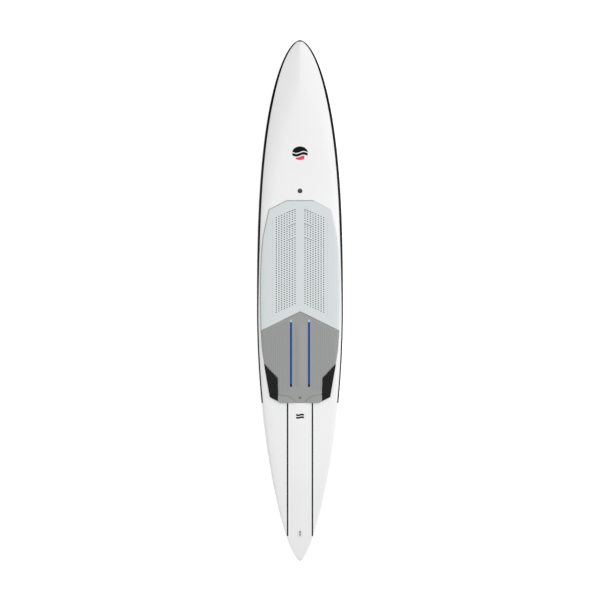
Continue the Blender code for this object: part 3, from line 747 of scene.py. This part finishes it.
def bevel_lines(width):
    """(inset, height) lines of a pad's cut edge, from its foot inwards: a bevel eased at the top."""
    curve = ((0, 0), (0.4, 0.45), (0.8, 0.88), (0.9, 0.97), (1, 1))
    return [(width * share, PAD_WALL + (PAD_THICK - PAD_WALL) * up) for share, up in curve]


def no_relief(x, y):
    return 0.0


def pad_rows(side, lead, trail, bevel_at, ends, columns, relief=no_relief):
    """Grid of (x, y, height) over a pad.

    side gives the half width against station. lead and trail say how far the front and rear edges
    reach beyond the corners' stations, at each share of the half width. bevel_at gives the width of
    the side's bevel at a station, ends those of the front and rear edges, and relief is added on top.
    """
    front_bevel, rear_bevel = ends
    first, last = side[0][0], side[-1][0]
    count = math.ceil((first - last) / (8 * MM))
    inner = sorted({*(mix(first, last, i / count) for i in range(1, count)), *(y for y, _ in side[1:-1])})
    front = bevel_lines(front_bevel)
    rear = bevel_lines(rear_bevel)
    stations = [(first - inset, height) for inset, height in front]
    stations += [(y, PAD_THICK) for y in reversed(inner) if first - front_bevel > y > last + rear_bevel]
    stations += [(last + inset, height) for inset, height in reversed(rear)]
    shares = [i / columns for i in range(columns)]
    rows = []
    for station, row_height in stations:
        along = (first - station) / (first - last)
        wide = between(side, station)
        slope = (between(side, station + MM) - between(side, station - MM)) / (2 * MM)
        lean = min(math.hypot(1, slope), 1.5)
        half = []
        edge = [(wide - inset * lean, height) for inset, height in bevel_lines(bevel_at(station))]
        inner_wide = edge[-1][0]
        for x, height in [(share * inner_wide, PAD_THICK) for share in shares] + edge[::-1]:
            share = x / wide
            y = station + (1 - along) * lead(share) + along * trail(share)
            half.append((x, y, min(height, row_height) + relief(x, y)))
        rows.append([(-x, y, height) for x, y, height in reversed(half[1:])] + half)
    return rows


def pad_solid(rows, base=PAD_LIFT, edge_shade_slot=None):
    """A pad as a closed solid. Faces below the full height, on the cut edges that do not lean to the right,
    take the edge slot: painted shade on the edges turned away from the key light.
    """
    bm = bmesh.new()
    deck_solid(bm, rows, base)
    if edge_shade_slot is not None:
        bmesh.ops.recalc_face_normals(bm, faces=bm.faces[:])
        for face in bm.faces:
            low = min(vert.co.z - deck_z(vert.co.x, vert.co.y) for vert in face.verts)
            # cut edges turned away from the key light on the right get painted shade
            if low < 0.93 * PAD_THICK and face.normal.x < EDGE_TURN:
                face.material_index = edge_shade_slot
    return bm


def sink(bm, outline, depth):
    """Upright prism that cuts a recess of this depth into a pad. Its faces take the pad's second slot, a
    darker copy of the pad's foam that paints the shade in the recess.
    """
    heights = (PAD_THICK - depth, PAD_THICK + MM)
    capped(bm, [[(x, y, deck_z(x, y) + height) for x, y in outline] for height in heights], 1)


def long_groove(bm, x, front, rear, half, slot=0):
    """Cutter of a groove along the board, following the pad's surface."""
    count = max(2, math.ceil((front - rear) / 0.02))
    rows = [[(x - half, y), (x + half, y)] for y in (mix(front, rear, i / count) for i in range(count + 1))]
    deck_sheet(bm, rows, PAD_THICK - FINE_GROOVE, PAD_THICK + MM, slot)


def clear_of_grooves(x, y):
    if x > GROOVE_X[1] + HOLE_CLEAR:
        return True
    lines = [start - GROOVE_FALL * (x - GROOVE_X[0]) for start in GROOVE_Y]
    return y < lines[0] - 2 * HOLE_CLEAR and all(abs(y - line) > HOLE_CLEAR for line in lines)


def perforations(bm):
    """Staggered holes on both sides of the front pad, with a column of dimples outside them."""
    pitch_x, pitch_y = HOLE_PITCH
    columns = [(HOLE_X + i * pitch_x, i, HOLE_RADIUS, HOLE_DEPTH) for i in range(HOLE_COLUMNS)]
    columns.append((DIMPLE_X, HOLE_COLUMNS, *DIMPLE))
    for x, number, radius, depth in columns:
        front = HOLE_FRONT[0] - HOLE_FRONT[1] * (x - HOLE_X)
        rear = HOLE_REAR[0] - HOLE_REAR[1] * (x - HOLE_X)
        y = HOLE_FRONT[0] - 0.5 * pitch_y * (number % 2) - HOLE_FALL * number
        while y > rear:
            if y < front and clear_of_grooves(x, y):
                for side_x in (x, -x):
                    sink(bm, at_place(circle_outline(radius, 12), side_x, y), depth)
            y -= pitch_y


def slanted_grooves(bm):
    """Three short grooves a side, slanting back from the smooth middle strip."""
    for y in GROOVE_Y:
        for _, sign in SIDES:
            start = Vector((sign * GROOVE_X[0], y))
            end = Vector((sign * GROOVE_X[1], y - GROOVE_FALL * (GROOVE_X[1] - GROOVE_X[0])))
            across = (end - start).normalized().orthogonal() * GROOVE_HALF
            sink(bm, [start + across, end + across, end - across, start - across], GROOVE_DEPTH)


def add_front_pad(pale, pale_painted_shade, edge):
    def lead(share):
        return between(FRONT_EDGE, min(abs(share), 1.0) * FRONT_EDGE[-1][0])

    def trail(share):
        return SEAM_RISE * (1 - min(abs(share), 1.0)) + SEAM_GAP

    rows = pad_rows(FRONT_SIDE, lead, trail, lambda _: FRONT_BEVEL, (FRONT_BEVEL, SEAM_BEVEL), 26)
    name = "deck_pad_front"
    # the second finish paints the shade in the holes and grooves, the third the shade on the left and front
    # cut edges
    pad = make("front_pad_foam", pad_solid(rows, edge_shade_slot=2), pale, pale_painted_shade, edge, slot="eva_pale")
    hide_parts(name)
    holes = bmesh.new()
    perforations(holes)
    carve(pad, holes)
    grooves = bmesh.new()
    slanted_grooves(grooves)
    for i in range(3):
        out = 0.016 * i
        front, rear = 0.4300 - 0.9 * out * (1 + 2.6 * out / 0.04), -0.112 - 0.45 * out
        for _, sign in SIDES:
            long_groove(grooves, sign * (0.149 + out), front, rear, 0.8 * MM)
    carve(pad, grooves)


def add_rear_pad(grey, grey_painted_shade):
    def bevel_at(station):
        return PAD_BEVEL if station > CORNER_TOP_Y + 2 * MM else SEAM_BEVEL

    def lead(share):
        return SEAM_RISE * (1 - min(abs(share), 1.0)) - SEAM_GAP

    def arch_bar(x, y):
        ends = smooth(y, ARCH_Y[0], ARCH_Y[0] - 0.03) * smooth(y, ARCH_Y[1], ARCH_Y[1] + 0.03)
        return ARCH_RISE * ends * 0.5 * (1 + math.cos(math.pi * min(1.0, abs(x) / ARCH_HALF)))

    rows = pad_rows(REAR_SIDE, lead, lambda _: 0.0, bevel_at, (SEAM_BEVEL, PAD_BEVEL), 64, arch_bar)
    pad = make("rear_pad_foam", pad_solid(rows), grey, grey_painted_shade, slot="eva_grey")
    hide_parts("deck_pad_rear", "pad_arch_bar")
    # the grooves, the strips' channels and the kick lines take the darker copy of the grey foam: painted
    # shade in the recesses
    cutters = bmesh.new()
    half = 0.5 * (LINE_HIGH.x - LINE_LOW.x) + FIT
    outline = rounded_outline(2 * half, LINE_HIGH.y - LINE_LOW.y + 2 * FIT, 1.5 * MM, 4)
    for _, sign in SIDES:
        sink(cutters, at_place(outline, sign * LINE_X, 0.5 * (LINE_HIGH.y + LINE_LOW.y)), LINE_DEPTH)
    for i in range(4, 19):
        x = 0.0102 * i
        if abs(x - LINE_X) < 0.009:
            continue
        front = -0.0660 - SEAM_RISE * x / 0.197
        rear = -0.4520 if x < 0.1030 else -0.3820 + (x - 0.1120)
        for _, sign in SIDES:
            long_groove(cutters, sign * x, front, rear, 0.6 * MM, 1)
    for _, sign in SIDES:
        kick_line(cutters, sign, 0.0230, 0.1070)
    carve(pad, cutters)


def kick_line(bm, sign, first, last):
    """Narrow channel in front of a kick wedge, along the arch. Its walls take the pad's second slot, a
    darker copy of the foam that paints the shade in the channel.
    """
    half = 1.4 * MM
    places = [mix(first, last, i / 24) for i in range(25)]
    rows = []
    for x in places:
        y = between(KICK_ARCH, x) + half + FIT
        rows.append([(sign * x, y - half), (sign * x, y + half)])
    deck_sheet(bm, rows, PAD_THICK - LINE_DEPTH, PAD_THICK + MM, 1)


def quad_rows(corners, bevels):
    """Grid of (x, y, height) over a four-sided pad. bevels are those of its four edges, in order."""
    count = 14
    a, b, c, d = (Vector(corner) for corner in corners)
    lengths = [(b - a).length, (c - b).length, (d - c).length, (a - d).length]
    across = (lengths[0] + lengths[2]) / 2
    down = (lengths[1] + lengths[3]) / 2

    def lines(first, last, size):
        near = [(inset / size, height) for inset, height in bevel_lines(first)]
        far = [(1 - inset / size, height) for inset, height in reversed(bevel_lines(last))]
        inner = [(mix(near[-1][0], far[0][0], i / count), PAD_THICK) for i in range(1, count)]
        return near + inner + far

    rows = []
    for v, row_height in lines(bevels[0], bevels[2], down):
        row = []
        for u, height in lines(bevels[3], bevels[1], across):
            place = a.lerp(b, u).lerp(d.lerp(c, u), v)
            row.append((place.x, place.y, min(height, row_height)))
        rows.append(row)
    return rows


def add_corner_pads(black, black_painted_shade):
    for side, sign in SIDES:
        corners = [(sign * x, y) for x, y in CORNER]
        foam = pad_solid(quad_rows(corners, (SEAM_BEVEL, SEAM_BEVEL, CORNER_BEVEL, CORNER_BEVEL)))
        node = f"pad_corner_{side}"
        pad = make(f"corner_foam_{side}", foam, black, black_painted_shade, slot="eva_black", replaces=[node])
        # the channel's walls take the darker copy of the black foam: painted shade
        line = bmesh.new()
        kick_line(line, sign, 0.1120, 0.1425)
        carve(pad, line)


def add_kicks(grey, black):
    """Raised wedges on the rear corners, grey with a black outer end."""
    shares = (0, 0.02, 0.06, 0.12, 0.2, 0.3, 0.4, 0.5, 0.6, 0.7, 0.8, 0.88, 0.94, 0.975, 0.99, 1)
    first, last = KICK_X
    for side, sign in SIDES:
        rows = []
        for i in range(61):
            x = mix(first, last, i / 60)
            front, back = between(KICK_ARCH, x), between(PAD_BACK, x) + 0.1 * MM
            end_fade = smooth(x, last, last - 0.0115) * smooth(x, first - MM, 0.0400)
            row = []
            for share in shares:
                rise = KICK_SLOPE * share * (front - back) * (0.25 + 0.75 * end_fade) * (0.6 + 0.4 * share)
                edge = max(0.0, share - 0.9) / 0.1
                rise *= 1 - 0.22 * edge**3
                row.append((sign * x, mix(front, back, share), PAD_THICK + 0.08 * MM + rise))
            rows.append(row)
        bm = pad_solid(rows, base=PAD_WALL)
        for face in bm.faces:
            face.material_index = int(abs(face.calc_center_median().x) > 0.1090)
        pad = make(f"kick_foam_{side}", bm, grey, black, slot="eva_grey", replaces=[f"pad_kick_{side}"])


def add_blue_lines(blue, sky, dark):
    """Inlaid strips over the foil tracks, paler at the front end and dark at the rear one."""
    half = 0.5 * (LINE_HIGH.x - LINE_LOW.x)
    front, rear = LINE_HIGH.y, LINE_LOW.y
    places = [0, 0.4, 1.2, 3.5, 7, 12, 13, *range(20, 320, 20), 322, 323, 328, 333, 334.8, 335.6, 336]
    for side, sign in SIDES:
        rows = []
        for distance in places:  # millimetres from the front end
            y = mix(front, rear, distance / 336)
            end = min(distance, 336 - distance) * MM
            narrow = half - 1.2 * MM * (1 - min(1.0, end / (1.2 * MM))) ** 2
            fall = 0.7 * MM if end < 0.2 * MM else 0.0
            row = []
            for share in (-1, -0.9, -0.75, 0, 0.75, 0.9, 1):
                height = PAD_THICK - 0.15 * MM - fall - 0.6 * MM * max(0.0, abs(share) - 0.85) / 0.15
                row.append((sign * LINE_X + narrow * share, y, height))
            rows.append(row)
        bm = pad_solid(rows, base=PAD_THICK - 2.1 * MM)
        for face in bm.faces:
            y = face.calc_center_median().y
            if y > front - 12.5 * MM:
                face.material_index = 1
            elif y < rear + 13.5 * MM:
                face.material_index = 2
        node = f"pad_line_{side}"
        strip = make(f"blue_line_{side}", bm, blue, sky, dark, slot="eva_blue", replaces=[node])


# ---------------------------------------------------------------- fittings on the deck


VENT_Y = 0.550
LEASH_Y = -1.1616
LEASH_SLOT = (0.0085, 0.0260)
LEASH_DEPTH = 0.014
LEASH_WALL = 0.0022


VENT_HOLE = 8.4 * MM  # radius of the hole in the deck, and of the plug's parts
VENT_FLANGE = 11.8 * MM
VENT_BARREL = 8.0 * MM
VENT_BORE = 2.9 * MM
VENT_SEAT = 5.0 * MM
SEAT_DEPTH = 3.6 * MM  # depths below the deck
BARREL_DEPTH = 16 * MM
RING = (3.7 * MM, 0.7 * MM)  # radius of its middle line, and of its section
SCREW_SHANK = 2.25 * MM
SCREW_HEAD = 4.4 * MM
THREAD = (0.33 * MM, 1.0 * MM)  # depth, pitch


def thread(bm, radius, top, turns):
    """Helical ridge, triangular in section, round the Z axis from top downwards."""
    depth, pitch = THREAD
    rings, steps = [], 24
    for i in range(int(turns * steps) + 1):
        angle = 2 * math.pi * i / steps
        z = top - pitch * i / steps
        fade = min(1.0, i / steps, turns - i / steps + 0.02)
        ring = []
        for reach, rise in ((-0.15 * MM, 0.42 * pitch), (depth * fade, 0.0), (-0.15 * MM, -0.42 * pitch)):
            ring.append(((radius + reach) * math.cos(angle), (radius + reach) * math.sin(angle), z + rise))
        rings.append(ring)
    capped(bm, rings)


def add_vent(deck, plastic, steel, rubber):
    """Vent plug: flanged body in the deck, rubber ring and slotted screw, each on its own body."""
    place = deck_frame(0, VENT_Y)
    cut_prism(deck, circle_outline(VENT_HOLE), -0.01, 0.01, place)

    low, top, seat = 0.3 * MM, 1.9 * MM, -SEAT_DEPTH
    body = bmesh.new()
    corners = [
        (VENT_BORE, -BARREL_DEPTH, 0),
        (VENT_BARREL, -BARREL_DEPTH),
        (VENT_BARREL, low, 0),
        (VENT_FLANGE, low, 0.2 * MM),
        (VENT_FLANGE, top - 0.8 * MM, 0.4 * MM),
        (VENT_FLANGE - 1.2 * MM, top, 0.8 * MM),
        (VENT_SEAT + 0.6 * MM, top, 0.5 * MM),
        (VENT_SEAT, top - 0.7 * MM, 0.3 * MM),
        (VENT_SEAT, seat, 0),
        (VENT_BORE, seat, 0),
    ]
    turned(body, rounded_profile(corners, 0.5 * MM), 72)
    body = transformed(body, place)
    plug = make("vent_flange", body, plastic, slot="moulded_plastic", replaces=["vent_body"])
    notches = bmesh.new()
    reach = VENT_FLANGE + 0.1 * MM
    for i in range(6):  # grip notches round the flange's rim
        angle = math.pi / 6 + math.pi / 3 * i
        outline = at_place(circle_outline(1.15 * MM, 16), reach * math.cos(angle), reach * math.sin(angle))
        stack(notches, [(outline, z) for z in (0.9 * MM, 4 * MM)])
    carve(plug, transformed(notches, place))

    ring = bmesh.new()
    middle, radius = RING
    height = seat + 1.0 * MM
    turns = np.linspace(0, 2 * math.pi, 17)[:-1]
    turned(ring, [(middle + radius * math.cos(a), height + radius * math.sin(a)) for a in turns], 56)
    ring = transformed(ring, place)
    make("vent_ring", ring, rubber, body="vent_seal", slot="seal_rubber", replaces=["vent_o_ring"])

    screw = bmesh.new()
    under = height + radius + 0.15 * MM
    crown = under + 2.4 * MM
    corners = [
        (0, under - 11.0 * MM),
        (SCREW_SHANK - 0.45 * MM, under - 11.0 * MM, 0),
        (SCREW_SHANK, under - 10.4 * MM, 0.2 * MM),
        (SCREW_SHANK, under, 0),
        (SCREW_HEAD, under, 0.2 * MM),
        (SCREW_HEAD, crown - 0.5 * MM, 0.4 * MM),
        (SCREW_HEAD - 1.0 * MM, crown, 0.8 * MM),
        (0, crown),
    ]
    turned(screw, rounded_profile(corners, 0.3 * MM), 56)
    thread(screw, SCREW_SHANK, under - 1.6 * MM, 8)
    head = make("vent_plug", transformed(screw, place), steel, body="vent_screw", slot="stainless_steel")
    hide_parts("vent_screw")
    cut_prism(head, rectangle(1.1 * MM, 20 * MM), crown - 1.2 * MM, crown + 2 * MM, place)


def add_leash_slot(deck, plastic, steel):
    """Cup let into the tail with a pin across it for the leash string."""
    place = deck_frame(0, LEASH_Y)
    radius = LEASH_SLOT[0] / 2 - 0.2 * MM
    wall, floor = LEASH_WALL, -LEASH_DEPTH
    foot, rim = floor - wall, wall + 4 * MM
    cut_prism(deck, grown(LEASH_SLOT, rim + FIT, radius), -0.008, 0.01, place)

    profile = [  # how far the outline reaches beyond the slot, and its height
        (wall - 1.2 * MM, foot),
        (wall - 0.3 * MM, foot + 0.3 * MM),
        (wall, foot + 1.2 * MM),
        (wall, -2.7 * MM),
        (rim, -2.7 * MM),
        (rim, -0.25 * MM),
        (rim - 0.3 * MM, 0.1 * MM),
        (rim - 0.9 * MM, 0.2 * MM),
        (0.8 * MM, 0.2 * MM),
        (0.25 * MM, 0.0),
        (0.0, -0.6 * MM),
        (0.0, floor + 1.5 * MM),
        (-0.5 * MM, floor + 0.4 * MM),
        (-1.6 * MM, floor),
    ]
    cup = bmesh.new()
    stack(cup, [(grown(LEASH_SLOT, extra, radius), z) for extra, z in profile])
    cup = transformed(cup, place)
    cup = make("leash_housing", cup, *plastic, slot="white_plastic", replaces=["leash_cup"])
    # faces inside the slot take the grey copy of the white plastic: painted shade down in the cup
    for polygon in cup.data.polygons:
        local = place.inverted() @ polygon.center
        inside = max(abs(local.x) - LEASH_SLOT[0] / 2, abs(local.y) - LEASH_SLOT[1] / 2) < 0.1 * MM
        polygon.material_index = int(inside and local.z > floor - 0.2 * MM and local.z < -0.3 * MM)

    pin = bmesh.new()
    half, size = LEASH_SLOT[0] / 2 + 0.5 * wall, 2.0 * MM
    corners = [(0, -half), (size, -half, 0.3 * MM), (size, half, 0.3 * MM), (0, half)]
    turned(pin, rounded_profile(corners, 0.3 * MM), 40)
    turn = Matrix.Translation((0, 0, -5.2 * MM)) @ Matrix.Rotation(math.pi / 2, 4, "Y")
    pin = transformed(transformed(pin, turn), place)
    make("leash_bar", pin, steel, slot="stainless_steel", replaces=["leash_pin"])


# ---------------------------------------------------------------- fittings on the bottom

HANDLE_Y = 0.070
HANDLE_MOUTH = (0.088, 0.132)
HANDLE_DEPTH = 0.046
HANDLE_WALL = 2.5 * MM
HANDLE_FLANGE = 8.0 * MM
TRACK_X, TRACK_Y = 0.045, -0.260
TRACK_SIZE = (0.025, 0.400)
TRACK_TOP = 0.0253
SLOT_LENGTH = 0.364
CHANNEL = (0.0093, 0.0045, 0.0125)  # half width, from and to height
NECK = 4.8 * MM  # half width of the slot between the lips
CHANNEL_ROOF = 0.022
NUT_Y = 0.0825  # from the tracks' middle
NUT_LENGTH = 0.020
NUT_PLATE = (0.0178, 1.0 * MM)  # width, corner radius
NUT_BOSS = (0.0090, 0.8 * MM)


def add_handle(bottom, plastic, carbon):
    """Recessed cup and the carbon bar that the hand closes on."""
    wall, roof = HANDLE_WALL, HANDLE_DEPTH + HANDLE_WALL
    rim = wall + HANDLE_FLANGE

    def ring(extra):
        return at_place(grown(HANDLE_MOUTH, extra, 0.020), 0, HANDLE_Y)

    cut_prism(bottom, ring(rim + FIT), -0.01, 0.006)
    profile = [  # how far the outline reaches beyond the mouth, and its height
        (wall - 3 * MM, roof),
        (wall - 0.8 * MM, roof - 0.8 * MM),
        (wall, roof - 3 * MM),
        (wall, 2.7 * MM),
        (rim, 2.7 * MM),
        (rim, 0.8 * MM),
        (rim - 0.5 * MM, 0.3 * MM),
        (1.6 * MM, 0.3 * MM),
        (0.5 * MM, 0.7 * MM),
        (0.0, 2.0 * MM),
        (0.0, HANDLE_DEPTH - 5 * MM),
        (-1.5 * MM, HANDLE_DEPTH - 1.5 * MM),
        (-5.0 * MM, HANDLE_DEPTH),
    ]
    cup = bmesh.new()
    stack(cup, [(ring(extra), z) for extra, z in profile])
    make("handle_recess", cup, plastic, slot="moulded_plastic", replaces=["handle_cup"])

    bar = bmesh.new()
    reach, rings = HANDLE_MOUTH[1] / 2 - FIT, []
    for i in range(49):
        share = -1 + i / 24
        end = max(0.0, (abs(share) - 0.82) / 0.18)
        grow = 1 + 0.25 * end**2.5
        waist = 1 - 0.06 * (1 - share * share)
        ring = []
        for angle in np.linspace(0, 2 * math.pi, 41)[:-1]:
            across, up = math.cos(angle), math.sin(angle)
            square = (abs(across) ** 2.6 + abs(up) ** 2.6) ** (-1 / 2.6)
            x = 0.0128 * grow * waist * across * square
            ring.append((x, HANDLE_Y + share * reach, 0.014 + 0.0088 * grow * waist * up * square))
        rings.append(ring)
    capped(bar, rings)
    make("handle_grip", bar, carbon, slot="carbon", replaces=["handle_bar"])


def add_tracks(bottom, nylon):
    """Foil tracks: bonded boxes with a T slot and a wide mouth for the nuts."""
    half = SLOT_LENGTH / 2
    wide, low, high = CHANNEL
    channel = [(-NECK, -0.01), (NECK, -0.01), (NECK, low), (wide, low), (wide, high), (NECK, high)]
    channel += [(NECK, CHANNEL_ROOF), (-NECK, CHANNEL_ROOF)]
    channel += [(-NECK, high), (-wide, high), (-wide, low), (-NECK, low)]
    lip, throat = NECK + 0.7 * MM, NECK - 0.1 * MM  # the slot's lips are eased outwards
    easing = [(-lip, -0.001), (lip, -0.001), (lip, FIT), (throat, FIT + 0.8 * MM)]
    easing += [(-throat, FIT + 0.8 * MM), (-lip, FIT)]
    rear, front = TRACK_Y - half, TRACK_Y + half
    cuts = ((channel, rear, front), (easing, rear + MM, front - 25 * MM))
    profile = ((-0.4 * MM, FIT), (0.0, FIT + 0.4 * MM), (0.0, TRACK_TOP - 0.8 * MM), (-0.8 * MM, TRACK_TOP))
    for side, sign in SIDES:
        middle = sign * TRACK_X

        def edge(extra):
            return at_place(grown(TRACK_SIZE, extra, 6 * MM), middle, TRACK_Y)

        cut_prism(bottom, edge(FIT), -0.01, 0.008)
        box = bmesh.new()
        stack(box, [(edge(extra), z) for extra, z in profile])
        name = f"foil_track_{side}"
        track = make(f"foil_box_{side}", box, nylon, slot="track_nylon", replaces=[name])
        for section, start, end in cuts:
            cutter = bmesh.new()
            capped(cutter, [[(middle + x, y, z) for x, z in section] for y in (start, end)])
            carve(track, cutter)
            if section is channel:
                mouth = rounded_outline(2 * wide, 0.024, 1.5 * MM, 5)
                cut_prism(track, at_place(mouth, middle, front - 0.0118), -0.01, 0.0124)


def add_nuts(steel):
    """T nuts, each on its own body, with a chamfered threaded bore."""
    profile = (  # section, how far it is grown, and its height over the channel's floor
        (NUT_BOSS, -0.4 * MM, -3.6 * MM),
        (NUT_BOSS, 0.0, -3.2 * MM),
        (NUT_BOSS, 0.0, 0.0),
        (NUT_PLATE, -0.3 * MM, 0.0),
        (NUT_PLATE, 0.0, 0.3 * MM),
        (NUT_PLATE, 0.0, 6.1 * MM),
        (NUT_PLATE, -0.5 * MM, 6.6 * MM),
    )
    layers = []
    for (width, radius), extra, z in profile:
        outline = rounded_outline(width + 2 * extra, NUT_LENGTH + 2 * extra, radius + extra, 4)
        layers.append((outline, z))
    core, major = 3.4 * MM, 4.0 * MM
    bore_profile = [(0, -0.006), (major, -0.006), (major, -3.0 * MM), (core, -2.4 * MM)]
    bore_profile += [(core, 5.4 * MM), (major, 6.0 * MM), (major, 0.01), (0, 0.01)]
    for end, y in (("front", TRACK_Y + NUT_Y), ("rear", TRACK_Y - NUT_Y)):
        for side, sign in SIDES:
            place = Matrix.Translation((sign * TRACK_X, y, CHANNEL[1] + FIT))
            plate, bore = bmesh.new(), bmesh.new()
            stack(plate, layers)
            name = f"t_nut_{end}_{side}"
            piece, title = transformed(plate, place), f"track_nut_{end}_{side}"
            nut = make(title, piece, steel, body=name, slot="stainless_steel", replaces=[name])
            turned(bore, bore_profile, 40)
            carve(nut, transformed(bore, place))


# ---------------------------------------------------------------- stage, light and camera

PHOTO_SPAN = 3.0  # metres across the picture, at the height of AIM
AIM = (0.0, 0.0054, 0.10)
CAMERA_HEIGHT = 24.0
SENSOR = 36.0
WORLD_LIGHT = 0.58
HORIZON_LIGHT = 0.915  # as bright as the far floor
HORIZON_BAND = (0.05, 0.12)  # sines of the heights between which the backdrop's pale band fades
KEY_WATTS = 180.0


def add_stage(floor_finish):
    bm = bmesh.new()
    bmesh.ops.create_grid(bm, x_segments=1, y_segments=1, size=400.0)
    bmesh.ops.translate(bm, vec=(0, 0, CAD_BOX[0].z - 0.2 * MM), verts=bm.verts[:])
    make("studio_floor", bm, floor_finish, body=None)

    world = bpy.data.worlds.new("studio")
    world.use_nodes = True
    tree = world.node_tree
    height = tree.nodes.new("ShaderNodeSeparateXYZ")
    tree.links.new(tree.nodes.new("ShaderNodeTexCoord").outputs["Generated"], height.inputs[0])
    backdrop = tree.nodes.new("ShaderNodeValToRGB")  # a pale band round the horizon, darker above it
    stops = zip(backdrop.color_ramp.elements, HORIZON_BAND, (HORIZON_LIGHT, WORLD_LIGHT))
    for stop, position, level in stops:
        stop.position, stop.color = position, (level, level, level, 1.0)
    tree.links.new(height.outputs["Z"], backdrop.inputs["Fac"])
    tree.links.new(backdrop.outputs["Color"], tree.nodes["Background"].inputs["Color"])
    tree.nodes["Background"].inputs["Strength"].default_value = 1.0
    bpy.context.scene.world = world

    data = bpy.data.lights.new("key_light", "AREA")
    data.shape, data.size, data.size_y = "RECTANGLE", 3.0, 7.0
    data.energy = KEY_WATTS
    light = bpy.data.objects.new("key_light", data)
    bpy.context.scene.collection.objects.link(light)
    place = Vector((2.4, 0.3, 5.0))
    light.location = place
    light.rotation_mode = "QUATERNION"
    light.rotation_quaternion = (-place).to_track_quat("-Z", "Y")


def add_camera():
    data = bpy.data.cameras.new("camera")
    data.sensor_width = SENSOR
    data.lens = SENSOR * CAMERA_HEIGHT / PHOTO_SPAN
    data.clip_start, data.clip_end = 1.0, 100.0
    camera = bpy.data.objects.new("camera", data)
    bpy.context.scene.collection.objects.link(camera)
    camera.location = Vector(AIM) + Vector((0, 0, CAMERA_HEIGHT))
    bpy.context.scene.camera = camera
    bpy.context.scene.view_settings.view_transform = "Standard"


def finish_inner_nodes(beads, block_foam, wood):
    """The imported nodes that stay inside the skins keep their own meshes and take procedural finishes."""
    inner = {name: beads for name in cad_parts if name.startswith("foam_core")}
    inner["track_block"] = block_foam
    inner["stringer_left"] = inner["stringer_right"] = wood
    for name, finish in inner.items():
        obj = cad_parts[name]
        obj.data.materials.clear()
        obj.data.materials.append(finish)


def main():
    white, line_black = gloss_paint("white_paint", PAINT_WHITE), satin_line("line_black", BLACK_PAINT)
    red = satin_line("line_red", (0.74, 0.055, 0.135))
    # the pale foam's darker copy paints the shade down in the front pad's holes, dimples and slanted grooves
    pale, pale_painted_shade = eva_foam("eva_pale", EVA_PALE), eva_foam("eva_pale_painted_shade", shade(EVA_PALE, 0.10))
    # the grey foam's darker copy paints the shade in the rear pad's grooves and channels
    grey, grey_painted_shade = eva_foam("eva_grey", EVA_GREY), eva_foam("eva_grey_painted_shade", shade(EVA_GREY, 0.8))
    eva_black, blue = eva_foam("eva_black", EVA_BLACK, 0.15), eva_foam("eva_blue", EVA_BLUE, 0.08)
    sky, dark = eva_foam("eva_sky", EVA_SKY, 0.06), eva_foam("eva_dark", (0.02, 0.022, 0.04), 0.1)
    plastic = moulded_plastic("black_plastic", (0.012, 0.012, 0.0125))
    nylon = moulded_plastic("track_nylon_black", (0.022, 0.022, 0.024), 0.55)
    cup_white = moulded_plastic("white_plastic_cup", (0.80, 0.80, 0.80), 0.4)
    # a grey copy of the white cup plastic, painting the shade inside the leash slot
    cup_painted_shade = moulded_plastic("cup_inside_painted_shade", (0.64, 0.64, 0.645), 0.6)
    steel = brushed_steel("brushed_steel", 0)
    rubber = eva_foam("seal_rubber_black", (0.02, 0.02, 0.02), 0.1, 2500.0)

    deck, bottom = add_hull(white, line_black)
    add_pinlines(line_black)
    add_marks(line_black, red, eva_foam("pad_print", (0.16, 0.16, 0.16)))
    # the half-tone pale foam paints the shade on the front pad's cut edges that face away from the key light
    add_front_pad(pale, pale_painted_shade, eva_foam("eva_pale_edge_painted_shade", shade(EVA_PALE, 0.50)))
    add_rear_pad(grey, grey_painted_shade)
    # the black foam's darker copy paints the shade in the corners' kick channels
    add_corner_pads(eva_black, eva_foam("eva_black_painted_shade", shade(EVA_BLACK, 0.5)))
    add_kicks(grey, eva_black)
    add_blue_lines(blue, sky, dark)
    add_vent(deck, plastic, brushed_steel("blackened_steel", 0, 0.045), rubber)
    add_leash_slot(deck, (cup_white, cup_painted_shade), steel)
    add_handle(bottom, plastic, carbon_twill())
    add_tracks(bottom, nylon)
    add_nuts(steel)
    finish_inner_nodes(
        foam_beads("eps_beads", (0.88, 0.88, 0.86), 320.0),
        foam_beads("pvc_cells", (0.72, 0.60, 0.36), 900.0),
        foam_beads("stringer_foam", (0.80, 0.70, 0.48), 700.0),
    )
    add_stage(studio_floor())
    add_camera()


main()
